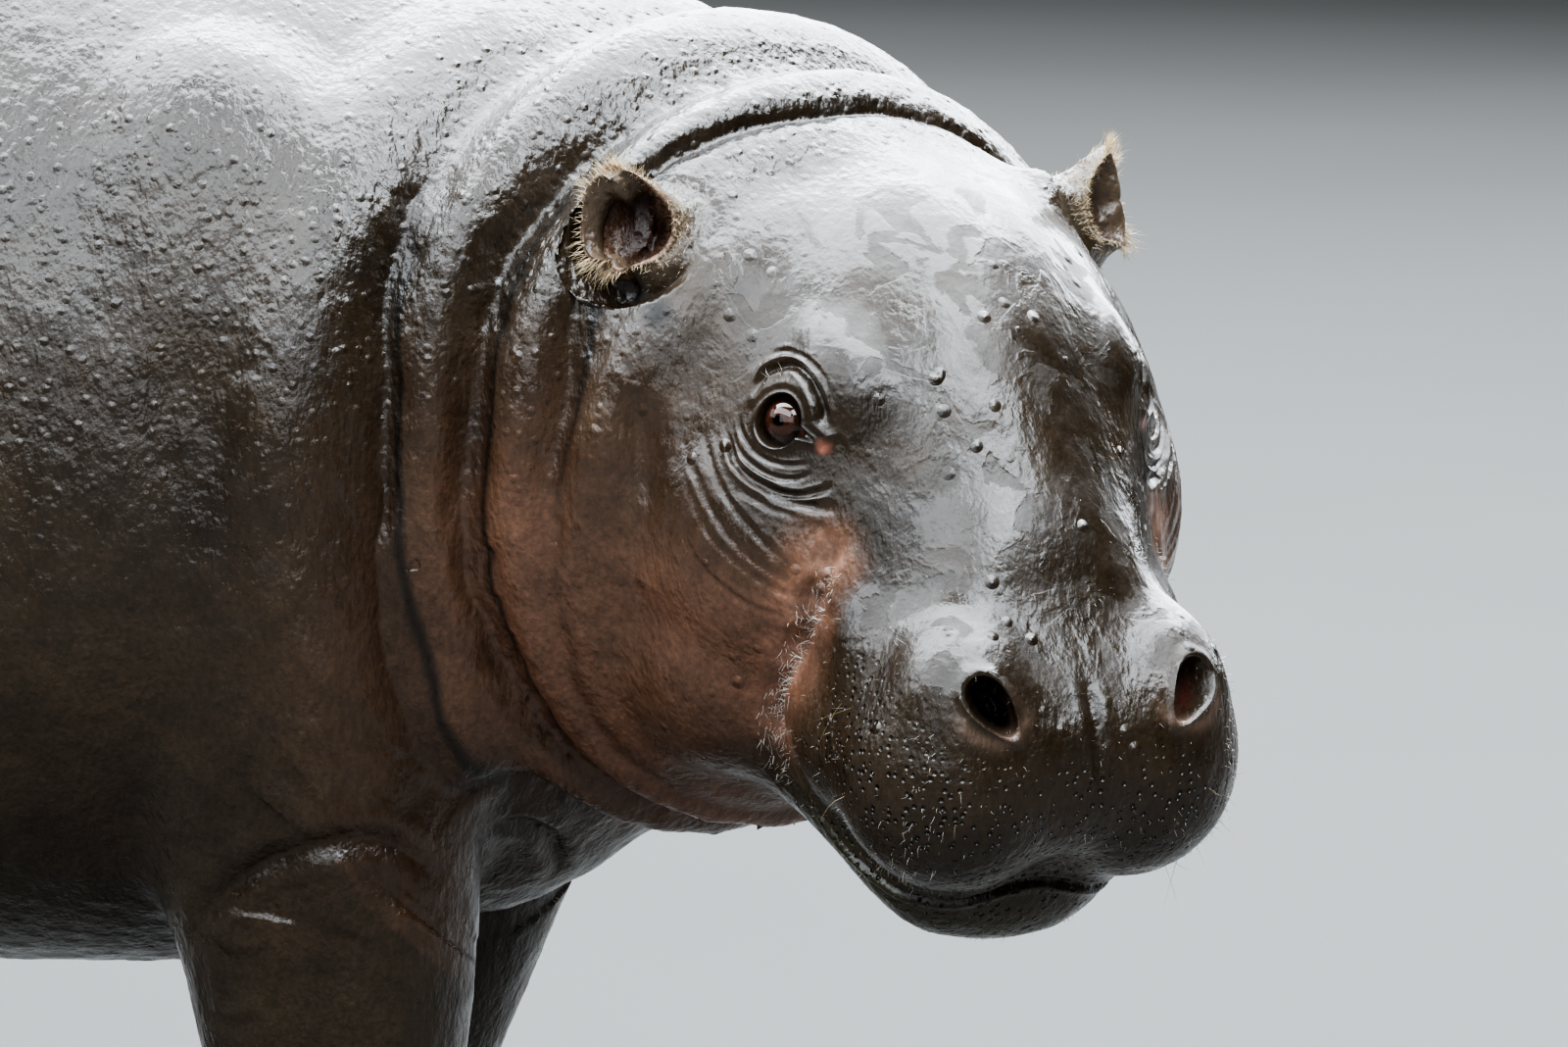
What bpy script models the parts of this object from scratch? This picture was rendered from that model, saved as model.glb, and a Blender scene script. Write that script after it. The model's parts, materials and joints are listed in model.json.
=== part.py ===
"""Pygmy hippopotamus, adult, life size: standing with the head lowered and turned to its right.

The animal faces +X with its left side at +Y and its soles on Z = 0. All lengths are in metres.
The flesh is first modelled whole, as lofts and swellings merged into one closed surface.
Thin cuts then part it into trunk, neck, head, lower jaw, legs and tail. Ears, eyeballs and
toenails are objects of their own.
"""

import math

import bmesh
import bpy
import numpy as np
from mathutils import Matrix, Vector

# ---- Driving dimensions ----
WITHERS = 0.79  # height over the shoulders
BACK = 0.845  # highest point of the loin
BELLY = 0.260  # ground clearance under the belly
GIRTH_HALF = 0.262  # half the trunk's greatest width
GAP = 0.0004  # between two nodes that meet
VOXEL = 0.006  # grid on which the forms are merged
MERGE_SMOOTHING = 14  # rounds of smoothing that turn the joins of the forms into fillets
EVEN_TRIANGLES = 5600  # of the whole body, as fine everywhere as the head stays
FLESH_TRIANGLES = 2150  # of the whole body before it is parted
HEAD_REACH = 0.215  # from the point between the eyes to the end of what stays fine
FINE = (72, 5)  # points in one ring of a form, and rings from one station to the next
COARSE = (10, 1)  # the same of a cutter
DOME_RINGS = 3

# ---- Head: its own frame has X to the nose, Y to the left and Z to the crown, with its origin
# midway between the eyes ----
HEAD_AT = Vector((0.585, -0.100, 0.570))
HEAD_TURN = math.radians(-40)  # to the animal's right
HEAD_DROP = math.radians(36)  # nose below the horizontal
EYE_AT = Vector((-0.007, 0.084, -0.007))  # centre of the left eyeball, in the head's frame
EYE_RADIUS = 0.0160
NOSTRIL_AT = Vector((0.166, 0.050, -0.024))
EARS = {
    # root and the way that the ear opens, in the head's frame; the right one is held further back
    "ear_left": ((-0.119, 0.092, 0.001), (0.34, 0.82, 0.42)),
    "ear_right": ((-0.123, -0.105, 0.005), (0.28, -0.88, 0.36)),
}
EAR_UP = (-0.50, 0.0, 0.85)
EAR_POINT = 1.25  # how much higher the ear's rear point is than a round rim
EAR_AROUND = 12
EAR_PROFILE = [
    # distance out from the root, radius: up the outside, over the rim and down the inside
    (-0.004, 0.010),
    (0.008, 0.0120),
    (0.018, 0.0175),
    (0.027, 0.0216),
    (0.035, 0.0234),
    (0.037, 0.0222),
    (0.035, 0.0200),
    (0.026, 0.0168),
    (0.016, 0.0111),
    (0.008, 0.0053),
]

# ---- Neck: from inside the chest to the back of the head. A fold of skin rings it at each of
# the inner stations, and the skin between two folds stands out as a roll ----
NECK_STATIONS = [
    # x, y, z of the middle, half width, above, below, squareness
    (0.286, 0.000, 0.540, 0.222, 0.212, 0.225, 2.1),
    (0.393, -0.008, 0.560, 0.190, 0.176, 0.213, 2.1),
    (0.455, -0.028, 0.557, 0.169, 0.164, 0.203, 2.1),
    (0.500, -0.052, 0.531, 0.152, 0.150, 0.172, 2.1),
    (0.530, -0.075, 0.528, 0.120, 0.110, 0.140, 2.1),
]
NECK_SHARES = (0.0, 0.25, 0.5, 0.75, 1.0)
NECK_TURNS = (-5, -20, -31, -38, -40)
NECK_DROPS = (0, -2, 3, 10, 16)
ROLL_SWELL = 0.085  # how far a roll stands out, as a share of the neck's radius
JAW_LEAN = 26.0  # degrees by which the back of the head leans to the neck
LEAN_UNTIL = 0.5  # share of the head's length over which that lean fades

# ---- Mouth, in the head's frame ----
MOUTH_LINE = [
    # x, z from the front to the corner
    (0.260, -0.118),
    (0.200, -0.127),
    (0.165, -0.146),
    (0.120, -0.152),
    (0.085, -0.141),
    (0.060, -0.108),
]
JAW_BOX = [(0.020, -0.300), (0.260, -0.300)]
HOLLOW_SUBDIVISIONS = 3  # of the spheres that hollow out the eye sockets and the nostrils
LID_OPENING = (0.0125, 0.0100, 0.0095)  # half the depth, length and height of the gap of the lids
NOSTRIL_SIZE = (0.016, 0.006, 0.010)

# ---- Legs ----
FORE_X, FORE_Y = 0.268, 0.125  # where a fore leg stands when it is upright
HIND_X, HIND_Y = -0.455, 0.138
STRIDE = {"fore_right": 0.010, "fore_left": -0.130, "hind_right": -0.045, "hind_left": 0.050}
STRIDE_FROM = 0.46  # height above which a leg keeps its place
TOES = (-1.5, -0.5, 0.5, 1.5)  # places across the foot, inner to outer
SOLE_DEPTH = 0.032  # to which a foot is rounded before it is cut flat at the floor
NAIL_RADII = (0.0130, 0.0115, 0.0150)
NAIL_AHEAD = 0.018  # of the toe's middle
NAIL_UP = 0.002

# ---- Where the flesh is parted ----
NECK_FOLD, HEAD_FOLD = 1, 3  # stations of the neck at which the trunk and the head part from it
LEG_ROOM = 0.028  # between a leg's own form and the cut round it
LEG_DOME = 0.070  # height of the rounded top of that cut
FOOT_ROOM = 0.050  # more room at the foot, for the toes
FOOT_ROOM_TO = 0.14
TAIL_ROOM = 0.010

# ---- Materials: name, colour and roughness ----
SKIN = ("skin", (0.060, 0.043, 0.036), 0.38)
EYE = ("eye", (0.030, 0.012, 0.006), 0.05)
NAIL = ("nail", (0.150, 0.110, 0.080), 0.45)

HEAD = (
    Matrix.Translation(HEAD_AT)
    @ Matrix.Rotation(HEAD_TURN, 4, "Z")
    @ Matrix.Rotation(HEAD_DROP, 4, "Y")
)


def clear_scene():
    for obj in list(bpy.data.objects):
        bpy.data.objects.remove(obj, do_unlink=True)


def collection(name):
    made = bpy.data.collections.new(name)
    bpy.context.scene.collection.children.link(made)
    return made


def new_object(name, bm, home):
    """An object from a bmesh, which it frees, with all of its faces turned outwards."""
    bmesh.ops.recalc_face_normals(bm, faces=bm.faces)
    if bm.calc_volume(signed=True) < 0:
        bmesh.ops.reverse_faces(bm, faces=bm.faces)
    mesh = bpy.data.meshes.new(name)
    bm.to_mesh(mesh)
    bm.free()
    obj = bpy.data.objects.new(name, mesh)
    home.objects.link(obj)
    return obj


# ---------------------------------------------------------------- forms


def smooth_between(rows, steps):
    """Catmull-Rom through the rows of numbers, with steps of them from each row to the next."""
    rows = np.array(rows, float)
    ends = np.vstack([2 * rows[0] - rows[1], rows, 2 * rows[-1] - rows[-2]])
    found = []
    for a, b, c, d in zip(ends, ends[1:], ends[2:], ends[3:]):
        for t in np.arange(steps) / steps:
            bend = t * t * (a - 2.5 * b + 2 * c - 0.5 * d)
            twist = 0.5 * t**3 * (3 * b - a - 3 * c + d)
            found.append(b + 0.5 * t * (c - a) + bend + twist)
    return np.array(found + [rows[-1]])


def ring(around, scale, centre, side, up, half, above, below, squareness):
    """Points of a superellipse that is half wide, above tall over its centre and below deep."""
    points = []
    for k in range(around):
        turn = 2 * math.pi * k / around
        c, s = math.cos(turn), math.sin(turn)
        across = math.copysign(abs(c) ** (2 / squareness), c) * half
        height = math.copysign(abs(s) ** (2 / squareness), s) * (above if s > 0 else below)
        points.append(centre + scale * (across * side + height * up))
    return points


def skin_rings(bm, rings, start, end):
    """Quads between neighbouring rings, and a fan to the point start and to the point end."""
    rows = [[bm.verts.new(point) for point in points] for points in rings]
    count = len(rows[0])
    for low, high in zip(rows, rows[1:]):
        for k in range(count):
            bm.faces.new((low[k - 1], low[k], high[k], high[k - 1]))
    tips = []
    for row, tip in ((rows[0], start), (rows[-1], end)):
        tips.append(bm.verts.new(tip))
        for k in range(count):
            bm.faces.new((row[k - 1], row[k], tips[-1]))
    return [vert for row in rows for vert in row] + tips


def loft(bm, stations, frame, domes, swell=None, fineness=FINE):
    """A closed form through stations of (x, y, z, half, above, below, squareness).

    frame gives a ring's side and up for its share of the way along the form, domes are how far
    the rounded ends reach past the first and the last station, swell scales a ring, and
    fineness is the points in a ring and the rings from one station to the next.
    """
    around, steps = fineness
    rows = smooth_between(stations, steps).tolist()
    last = len(rows) - 1
    rings = []
    for i, row in enumerate(rows):
        scale = swell(i / last) if swell else 1.0
        rings.append(ring(around, scale, Vector(row[:3]), *frame(i / last), *row[3:]))
    ends = []
    for i, beside, reach in ((0, 1, domes[0]), (last, last - 1, domes[1])):
        centre = Vector(rows[i][:3])
        ahead = (centre - Vector(rows[beside][:3])).normalized() * reach
        dome = []
        for k in range(1, DOME_RINGS):
            turn = math.pi / 2 * k / DOME_RINGS
            at = centre + ahead * math.sin(turn)
            dome.append(ring(around, math.cos(turn), at, *frame(i / last), *rows[i][3:]))
        ends.append((dome, centre + ahead))
    (first, start), (final, end) = ends
    return skin_rings(bm, first[::-1] + rings + final, start, end)


def steady(side, up):
    return lambda share: (Vector(side), Vector(up))


def swelling(bm, centre, radii, turn=(0, 0, 0), within=None, subdivisions=4):
    """An ellipsoid, turned by degrees about X, Y and Z, in the frame of the matrix within."""
    spin = [Matrix.Rotation(math.radians(a), 4, axis) for a, axis in zip(turn, "XYZ")]
    place = Matrix.Translation(centre) @ spin[2] @ spin[1] @ spin[0]
    place = (within or Matrix()) @ place @ Matrix.Diagonal((*radii, 1))
    bmesh.ops.create_icosphere(bm, subdivisions=subdivisions, radius=1.0, matrix=place)


def swellings(bm, centre, radii, turn=(0, 0, 0), within=None, subdivisions=4):
    """The swelling on the left side and its mirror image on the right."""
    swelling(bm, centre, radii, turn, within, subdivisions)
    mirrored = (centre[0], -centre[1], centre[2])
    swelling(bm, mirrored, radii, (-turn[0], turn[1], -turn[2]), within, subdivisions)


def add_trunk(bm):
    """Barrel of the body, from the buttocks to the base of the neck."""
    stations = [
        # x, y, z of the widest level, half width, above, below, squareness
        (-0.640, 0, 0.590, 0.110, 0.100, 0.130, 2.0),
        (-0.580, 0, 0.575, 0.170, 0.185, 0.190, 2.1),
        (-0.480, 0, 0.550, 0.212, 0.262, 0.225, 2.1),
        (-0.330, 0, 0.515, 0.242, BACK - 0.519, 0.235, 2.1),
        (-0.150, 0, 0.495, GIRTH_HALF, BACK - 0.495, 0.233, 2.1),
        (0.020, 0, 0.490, GIRTH_HALF, 0.336, 0.490 - BELLY, 2.1),
        (0.160, 0, 0.505, 0.238, WITHERS - 0.498, 0.240, 2.1),
        (0.270, 0, 0.530, 0.208, 0.236, 0.232, 2.0),
        (0.360, 0, 0.550, 0.176, 0.188, 0.205, 2.0),
    ]
    loft(bm, stations, steady((0, 1, 0), (0, 0, 1)), (0.045, 0.060))
    # Shoulder blade, point of the shoulder, haunch and point of the hip.
    swellings(bm, (0.190, 0.125, 0.540), (0.150, 0.095, 0.200), (0, 12, 0))
    swellings(bm, (0.290, 0.115, 0.440), (0.090, 0.070, 0.100))
    swellings(bm, (-0.440, 0.110, 0.550), (0.165, 0.110, 0.190), (0, -18, 0))
    swellings(bm, (-0.290, 0.105, 0.715), (0.070, 0.065, 0.055))
    # Brisket between the fore legs.
    swelling(bm, (0.260, 0, 0.370), (0.150, 0.100, 0.085), (0, -14, 0))


def neck_frame(share):
    """Side and up of the neck, which turns from the trunk's way towards the head's."""
    turn, drop = (np.interp(share, NECK_SHARES, angles) for angles in (NECK_TURNS, NECK_DROPS))
    spin = Matrix.Rotation(math.radians(turn), 3, "Z") @ Matrix.Rotation(math.radians(drop), 3, "Y")
    return spin @ Vector((0, 1, 0)), spin @ Vector((0, 0, 1))


def roll_swell(share):
    """Rolls of loose skin: each is rounded, with a crease at the station between it and the next."""
    place = share * (len(NECK_STATIONS) - 1)
    depth = ROLL_SWELL * min(1.0, 0.3 + 0.5 * place)
    return 1 + depth * (abs(math.sin(math.pi * place)) ** 0.7 - 0.4)


def add_neck(bm):
    loft(bm, NECK_STATIONS, neck_frame, (0.02, 0.04), roll_swell)


def head_frame(share):
    """Side and up of the head's rings: the rear ones lie in line with the folds of the neck."""
    lean = math.radians(JAW_LEAN) * max(0.0, 1 - share / LEAN_UNTIL)
    return Vector((0, 1, 0)), Vector((-math.sin(lean), 0, math.cos(lean)))


def add_head(bm):
    stations = [
        (-0.058, 0, -0.090, 0.148, 0.156, 0.168, 1.85),
        (-0.020, 0, -0.088, 0.142, 0.162, 0.152, 1.80),
        (0.022, 0, -0.084, 0.122, 0.142, 0.136, 1.80),
        (0.060, 0, -0.080, 0.096, 0.108, 0.120, 1.90),
        (0.092, 0, -0.072, 0.080, 0.086, 0.096, 2.1),
        (0.125, 0, -0.068, 0.080, 0.060, 0.058, 2.4),
        (0.160, 0, -0.072, 0.082, 0.049, 0.044, 2.4),
    ]
    verts = loft(bm, stations, head_frame, (0.03, 0.042))
    bmesh.ops.transform(bm, matrix=HEAD, verts=verts)
    # Upper lip: two full pads that meet at the midline, and its corner behind them.
    swellings(bm, (0.143, 0.043, -0.084), (0.063, 0.057, 0.0615), (0, 10, 4), HEAD)
    swellings(bm, (0.098, 0.056, -0.103), (0.052, 0.042, 0.046), (0, 8, 0), HEAD)
    swelling(bm, (0.146, 0.0, -0.099), (0.042, 0.034, 0.043), within=HEAD)
    # Edge of the bridge of the nose, which slopes evenly from its ridge to there.
    swellings(bm, (0.101, 0.062, -0.050), (0.054, 0.036, 0.022), (-40, 14, 0), HEAD)
    # Flat top of the muzzle, and the rims of the nostrils on its corners.
    swellings(bm, (0.142, 0.049, -0.046), (0.046, 0.038, 0.034), (0, 20, 0), HEAD)
    # Cheek and jowl.
    swellings(bm, (-0.018, 0.088, -0.084), (0.090, 0.052, 0.074), (0, -10, -12), HEAD)
    swellings(bm, (-0.018, 0.068, -0.140), (0.088, 0.068, 0.078), (0, -12, 0), HEAD)
    # Brow over the eye, and the mound of the lids.
    swellings(bm, (-0.012, 0.064, 0.017), (0.040, 0.026, 0.024), (0, 10, 0), HEAD)
    swellings(bm, (-0.006, 0.077, -0.008), (0.029, 0.024, 0.027), (0, 0, 0), HEAD)
    # Root of the ear.
    swellings(bm, (-0.112, 0.084, 0.010), (0.024, 0.020, 0.028), (0, 0, 0), HEAD)


def add_lower_jaw(bm):
    stations = [
        (-0.020, 0, -0.160, 0.094, 0.060, 0.070, 2.2),
        (0.040, 0, -0.152, 0.084, 0.050, 0.066, 2.2),
        (0.095, 0, -0.148, 0.076, 0.040, 0.048, 2.3),
        (0.140, 0, -0.148, 0.066, 0.030, 0.045, 2.3),
    ]
    verts = loft(bm, stations, steady((0, 1, 0), (0, 0, 1)), (0.02, 0.046))
    bmesh.ops.transform(bm, matrix=HEAD, verts=verts)


def ear_form(name, profile):
    """A thin cup on a short stem, which opens outwards and has its highest point at the rear."""
    root, opens = (Vector(place) for place in EARS[name])
    opens.normalize()
    up = Vector(EAR_UP)
    up = (up - up.dot(opens) * opens).normalized()
    across = up.cross(opens)
    rings = []
    for reach, radius in profile:
        points = []
        for k in range(EAR_AROUND):
            turn = 2 * math.pi * k / EAR_AROUND
            c, s = math.cos(turn), math.sin(turn)
            height = s * radius * (EAR_POINT if s > 0 else 1.0)
            points.append(root + reach * opens + radius * c * across + height * up)
        rings.append(points)
    bm = bmesh.new()
    skin_rings(bm, rings, root + profile[0][0] * opens, root + profile[-1][0] * opens)
    bm.transform(HEAD)
    return bm


def step(x, z, stride):
    """Where a leg's station stands once the foot has moved forward by stride."""
    return x + stride * max(0.0, 1 - z / STRIDE_FROM)


def add_leg(bm, stations, x, y, side, stride, dome=0.03, fineness=FINE):
    """A leg from stations of (dx, dy, z, half width, forward, backward, squareness)."""
    placed = [(step(x + dx, z, stride), side * (y + dy), z, *rest) for dx, dy, z, *rest in stations]
    loft(bm, placed, steady((0, 1, 0), (1, 0, 0)), (dome, SOLE_DEPTH), None, fineness)


def toe_place(leg, k):
    """Centre of a toe and its turn in degrees; the outer pair sits further back."""
    _, x, y, side = LEGS[leg]
    spread = 20.0 * k
    reach = 0.060 - 0.011 * (abs(k) - 0.5)
    centre = (
        x + STRIDE[leg] + 0.006 + reach * math.cos(math.radians(spread)),
        side * (y + 1.35 * reach * math.sin(math.radians(spread))),
        0.018 + 0.004 * (abs(k) - 0.5),
    )
    return Vector(centre), side * spread


def add_foot(bm, leg):
    for k in TOES:
        centre, spread = toe_place(leg, k)
        size = 1.0 - 0.10 * (abs(k) - 0.5)
        swelling(bm, centre, (0.032 * size, 0.0175 * size, 0.024 * size), (0, 14, spread))


FORE_STATIONS = [
    (-0.030, 0.010, 0.620, 0.070, 0.095, 0.100, 2.0),
    (-0.020, 0.012, 0.500, 0.080, 0.105, 0.110, 2.0),
    (-0.008, 0.006, 0.400, 0.076, 0.088, 0.098, 2.1),
    (0.000, 0.000, 0.320, 0.066, 0.074, 0.080, 2.1),
    (0.000, -0.004, 0.230, 0.055, 0.062, 0.062, 2.1),
    (0.002, -0.006, 0.150, 0.046, 0.050, 0.049, 2.1),
    (0.004, -0.006, 0.100, 0.047, 0.052, 0.048, 2.1),
    (0.008, -0.005, 0.055, 0.052, 0.056, 0.048, 2.2),
    (0.010, -0.005, 0.012, 0.055, 0.056, 0.050, 2.2),
]
HIND_STATIONS = [
    (0.015, -0.030, 0.640, 0.080, 0.130, 0.120, 2.0),
    (0.020, -0.012, 0.530, 0.094, 0.150, 0.135, 2.0),
    (0.030, -0.002, 0.420, 0.086, 0.128, 0.112, 2.1),
    (0.010, 0.000, 0.330, 0.070, 0.090, 0.084, 2.1),
    (-0.014, -0.003, 0.240, 0.054, 0.062, 0.066, 2.1),
    (-0.016, -0.006, 0.165, 0.045, 0.050, 0.053, 2.1),
    (-0.008, -0.007, 0.105, 0.046, 0.051, 0.047, 2.1),
    (0.002, -0.006, 0.055, 0.052, 0.056, 0.047, 2.2),
    (0.006, -0.006, 0.012, 0.055, 0.056, 0.049, 2.2),
]
LEGS = {
    "fore_right": (FORE_STATIONS, FORE_X, FORE_Y, -1),
    "fore_left": (FORE_STATIONS, FORE_X, FORE_Y, 1),
    "hind_right": (HIND_STATIONS, HIND_X, HIND_Y, -1),
    "hind_left": (HIND_STATIONS, HIND_X, HIND_Y, 1),
}


TAIL_STATIONS = [
    (-0.630, 0, 0.690, 0.034, 0.034, 0.026, 2.0),
    (-0.668, 0, 0.662, 0.027, 0.024, 0.021, 2.0),
    (-0.688, 0, 0.610, 0.020, 0.016, 0.016, 2.0),
    (-0.695, 0, 0.550, 0.016, 0.011, 0.011, 2.0),
    (-0.698, 0, 0.500, 0.014, 0.008, 0.008, 2.0),
]


def add_tail(bm, room=0.0, fineness=FINE):
    stations = [
        (x, y, z, half + room, above + room, below + room, squareness)
        for x, y, z, half, above, below, squareness in TAIL_STATIONS
    ]
    loft(bm, stations, steady((0, 1, 0), (1, 0, 0.2)), (0.01 + room, 0.01 + room), None, fineness)


def merged_flesh(home):
    """The whole body as one closed surface of even quads."""
    bm = bmesh.new()
    add_trunk(bm)
    add_neck(bm)
    add_head(bm)
    add_lower_jaw(bm)
    for name, (stations, x, y, side) in LEGS.items():
        add_leg(bm, stations, x, y, side, STRIDE[name])
        add_foot(bm, name)
    add_tail(bm)
    body = new_object("whole_body", bm, home)
    merge = body.modifiers.new("merge", "REMESH")
    merge.mode = "VOXEL"
    merge.voxel_size = VOXEL
    fillet = body.modifiers.new("fillet", "SMOOTH")
    fillet.factor = 0.5
    fillet.iterations = MERGE_SMOOTHING
    return body


# ---------------------------------------------------------------- parting


def cut(obj, cutter, operation="DIFFERENCE"):
    boolean = obj.modifiers.new(cutter.name, "BOOLEAN")
    boolean.operation = operation
    boolean.solver = "EXACT"
    boolean.object = cutter


def settle(obj):
    """Puts the evaluated shape in place of the object's mesh and modifiers."""
    bpy.context.view_layer.update()
    evaluated = obj.evaluated_get(bpy.context.evaluated_depsgraph_get())
    mesh = bpy.data.meshes.new_from_object(evaluated)
    obj.modifiers.clear()
    obj.data = mesh


def cutter(name, bm, home):
    """A hidden object from a bmesh. Its quads are split alike in the cutters of both sides of a
    cut, so that the gap between them stays even."""
    bmesh.ops.triangulate(bm, faces=bm.faces, quad_method="FIXED")
    obj = new_object(name, bm, home)
    obj.hide_render = True
    obj.display_type = "WIRE"
    return obj


def box_cutter(name, low, high, frame, grow, home):
    """A box from low to high in the frame, with each face moved out by grow."""
    low, high = Vector(low), Vector(high)
    size = high - low + Vector((2 * grow,) * 3)
    bm = bmesh.new()
    place = frame @ Matrix.Translation((low + high) / 2) @ Matrix.Diagonal((*size, 1))
    bmesh.ops.create_cube(bm, size=1.0, matrix=place)
    return cutter(name, bm, home)


def frame_at(centre, turn, drop):
    return (
        Matrix.Translation(centre)
        @ Matrix.Rotation(math.radians(turn), 4, "Z")
        @ Matrix.Rotation(math.radians(drop), 4, "Y")
    )


def head_cutter(name, grow, home):
    place = frame_at(NECK_STATIONS[HEAD_FOLD][:3], NECK_TURNS[HEAD_FOLD], NECK_DROPS[HEAD_FOLD])
    low, high = (0, -0.20, -0.215), (0.42, 0.20, 0.20)
    return box_cutter(cut_name(name, grow), low, high, place, grow, home)


def neck_cutter(name, grow, home):
    place = frame_at(NECK_STATIONS[NECK_FOLD][:3], NECK_TURNS[NECK_FOLD], NECK_DROPS[NECK_FOLD])
    low, high = (0, -0.26, -0.25), (0.50, 0.30, 0.25)
    return box_cutter(cut_name(name, grow), low, high, place, grow, home)


def outline_grown(corners, grow):
    """The closed outline with each of its sides moved out by grow."""
    turning = sum(a.cross(b) for a, b in zip(corners, corners[1:] + corners[:1]))
    outwards = grow * math.copysign(1.0, turning)
    grown = []
    for k, corner in enumerate(corners):
        after = (corners[(k + 1) % len(corners)] - corner).normalized()
        before = (corner - corners[k - 1]).normalized()
        first, second = (Vector((way.y, -way.x)) for way in (before, after))
        grown.append(corner + outwards * (first + second) / (1 + first.dot(second)))
    return grown


def jaw_cutter(name, grow, home):
    """All below the line of the mouth, ahead of the throat."""
    corners = outline_grown([Vector(corner) for corner in MOUTH_LINE + JAW_BOX], grow)
    bm = bmesh.new()
    left, right = (
        [bm.verts.new((corner.x, y, corner.y)) for corner in corners] for y in (-0.14, 0.14)
    )
    bm.faces.new(left)
    bm.faces.new(right)
    for k in range(len(corners)):
        bm.faces.new((left[k - 1], left[k], right[k], right[k - 1]))
    bm.transform(HEAD)
    return cutter(cut_name(name, grow), bm, home)


def leg_cutter(name, grow, home):
    """The leg's own form with room round it, wider at the foot, so that the toes go with it."""
    stations, x, y, side = LEGS[name]
    roomy = []
    for dx, dy, z, half, forward, backward, squareness in stations[1::2]:
        room = LEG_ROOM + grow + FOOT_ROOM * max(0.0, 1 - z / FOOT_ROOM_TO)
        roomy.append((dx, dy, z, half + room, forward + room, backward + room, squareness))
    roomy.append((roomy[-1][0], roomy[-1][1], -0.05, *roomy[-1][3:]))
    bm = bmesh.new()
    add_leg(bm, roomy, x, y, side, STRIDE[name], LEG_DOME + grow, COARSE)
    return cutter(cut_name(name, grow), bm, home)


def tail_cutter(name, grow, home):
    bm = bmesh.new()
    add_tail(bm, TAIL_ROOM + grow, COARSE)
    return cutter(cut_name(name, grow), bm, home)


def cut_name(name, grow):
    return f"{name}_{'outside' if grow > 0 else 'inside'}"


def ear_pocket(name, home):
    """The ear's outer form, a gap larger all round."""
    rim = [reach for reach, _ in EAR_PROFILE].index(max(reach for reach, _ in EAR_PROFILE))
    outside = [(reach, radius + GAP) for reach, radius in EAR_PROFILE[: rim + 1]]
    bm = ear_form(name, [(outside[0][0] - GAP, outside[0][1])] + outside[1:])
    return cutter(f"{name}_pocket", bm, home)


def eye_sockets(home):
    """Room for both eyeballs, and the gap between the lids in front of each."""
    bm = bmesh.new()
    radius = EYE_RADIUS + GAP
    swellings(bm, EYE_AT, (radius, radius, radius), (0, 0, 0), HEAD, HOLLOW_SUBDIVISIONS)
    return cutter("eye_sockets", bm, home)


def lid_gaps(home):
    bm = bmesh.new()
    at = EYE_AT + Vector((0.002, EYE_RADIUS, 0.001))
    depth, length, height = LID_OPENING
    swellings(bm, at, (length, depth, height), (0, -8, -8), HEAD, HOLLOW_SUBDIVISIONS)
    return cutter("lid_gaps", bm, home)


def nostril_pits(home):
    bm = bmesh.new()
    swellings(bm, NOSTRIL_AT, NOSTRIL_SIZE, (0, 50, -20), HEAD, HOLLOW_SUBDIVISIONS)
    return cutter("nostril_pits", bm, home)


def nails_of(leg):
    """Name, centre and turn in degrees of each toe's nail."""
    for number, k in enumerate(TOES, start=1):
        centre, spread = toe_place(leg, k)
        turn = math.radians(spread)
        ahead = Vector((NAIL_AHEAD * math.cos(turn), NAIL_AHEAD * math.sin(turn), NAIL_UP))
        yield f"nail_{leg}_{number}", centre + ahead, spread


def add_nail(bm, centre, spread, grow=0.0):
    radii = Vector(NAIL_RADII) + Vector((grow,) * 3)
    turn = Matrix.Rotation(math.radians(spread), 4, "Z") @ Matrix.Rotation(math.radians(-20), 4, "Y")
    place = Matrix.Translation(centre) @ turn @ Matrix.Diagonal((*radii, 1))
    bmesh.ops.create_uvsphere(bm, u_segments=8, v_segments=4, radius=1.0, matrix=place)


def nail_pockets(leg, home):
    bm = bmesh.new()
    for _, centre, spread in nails_of(leg):
        add_nail(bm, centre, spread, GAP)
    return cutter(f"nail_pockets_{leg}", bm, home)


def material(name, colour, roughness):
    made = bpy.data.materials.new(name)
    made.use_nodes = True
    surface = made.node_tree.nodes["Principled BSDF"]
    surface.inputs["Base Color"].default_value = (*colour, 1)
    surface.inputs["Roughness"].default_value = roughness
    return made


def collapse(obj, triangles, spare_head=False):
    """Fewer triangles, which follow the shape; the head can keep all of its own."""
    obj.data.calc_loop_triangles()
    coarse = obj.modifiers.new("coarse", "DECIMATE")
    coarse.ratio = triangles / len(obj.data.loop_triangles)
    coarse.use_collapse_triangulate = True
    if spare_head:
        into_head = HEAD.inverted()
        group = obj.vertex_groups.new(name="not_head")
        for vert in obj.data.vertices:
            group.add([vert.index], float((into_head @ vert.co).length > HEAD_REACH), "REPLACE")
        coarse.vertex_group = group.name
    settle(obj)
    obj.vertex_groups.clear()


def flat_soles(obj, home):
    bm = bmesh.new()
    place = Matrix.Translation((0, 0, -0.1)) @ Matrix.Diagonal((3, 3, 0.2, 1))
    bmesh.ops.create_cube(bm, size=1.0, matrix=place)
    floor = cutter("floor", bm, home)
    cut(obj, floor)
    settle(obj)


def piece_of(body, name, home):
    piece = body.copy()
    piece.data = body.data.copy()
    piece.name = name
    home.objects.link(piece)
    return piece


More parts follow.
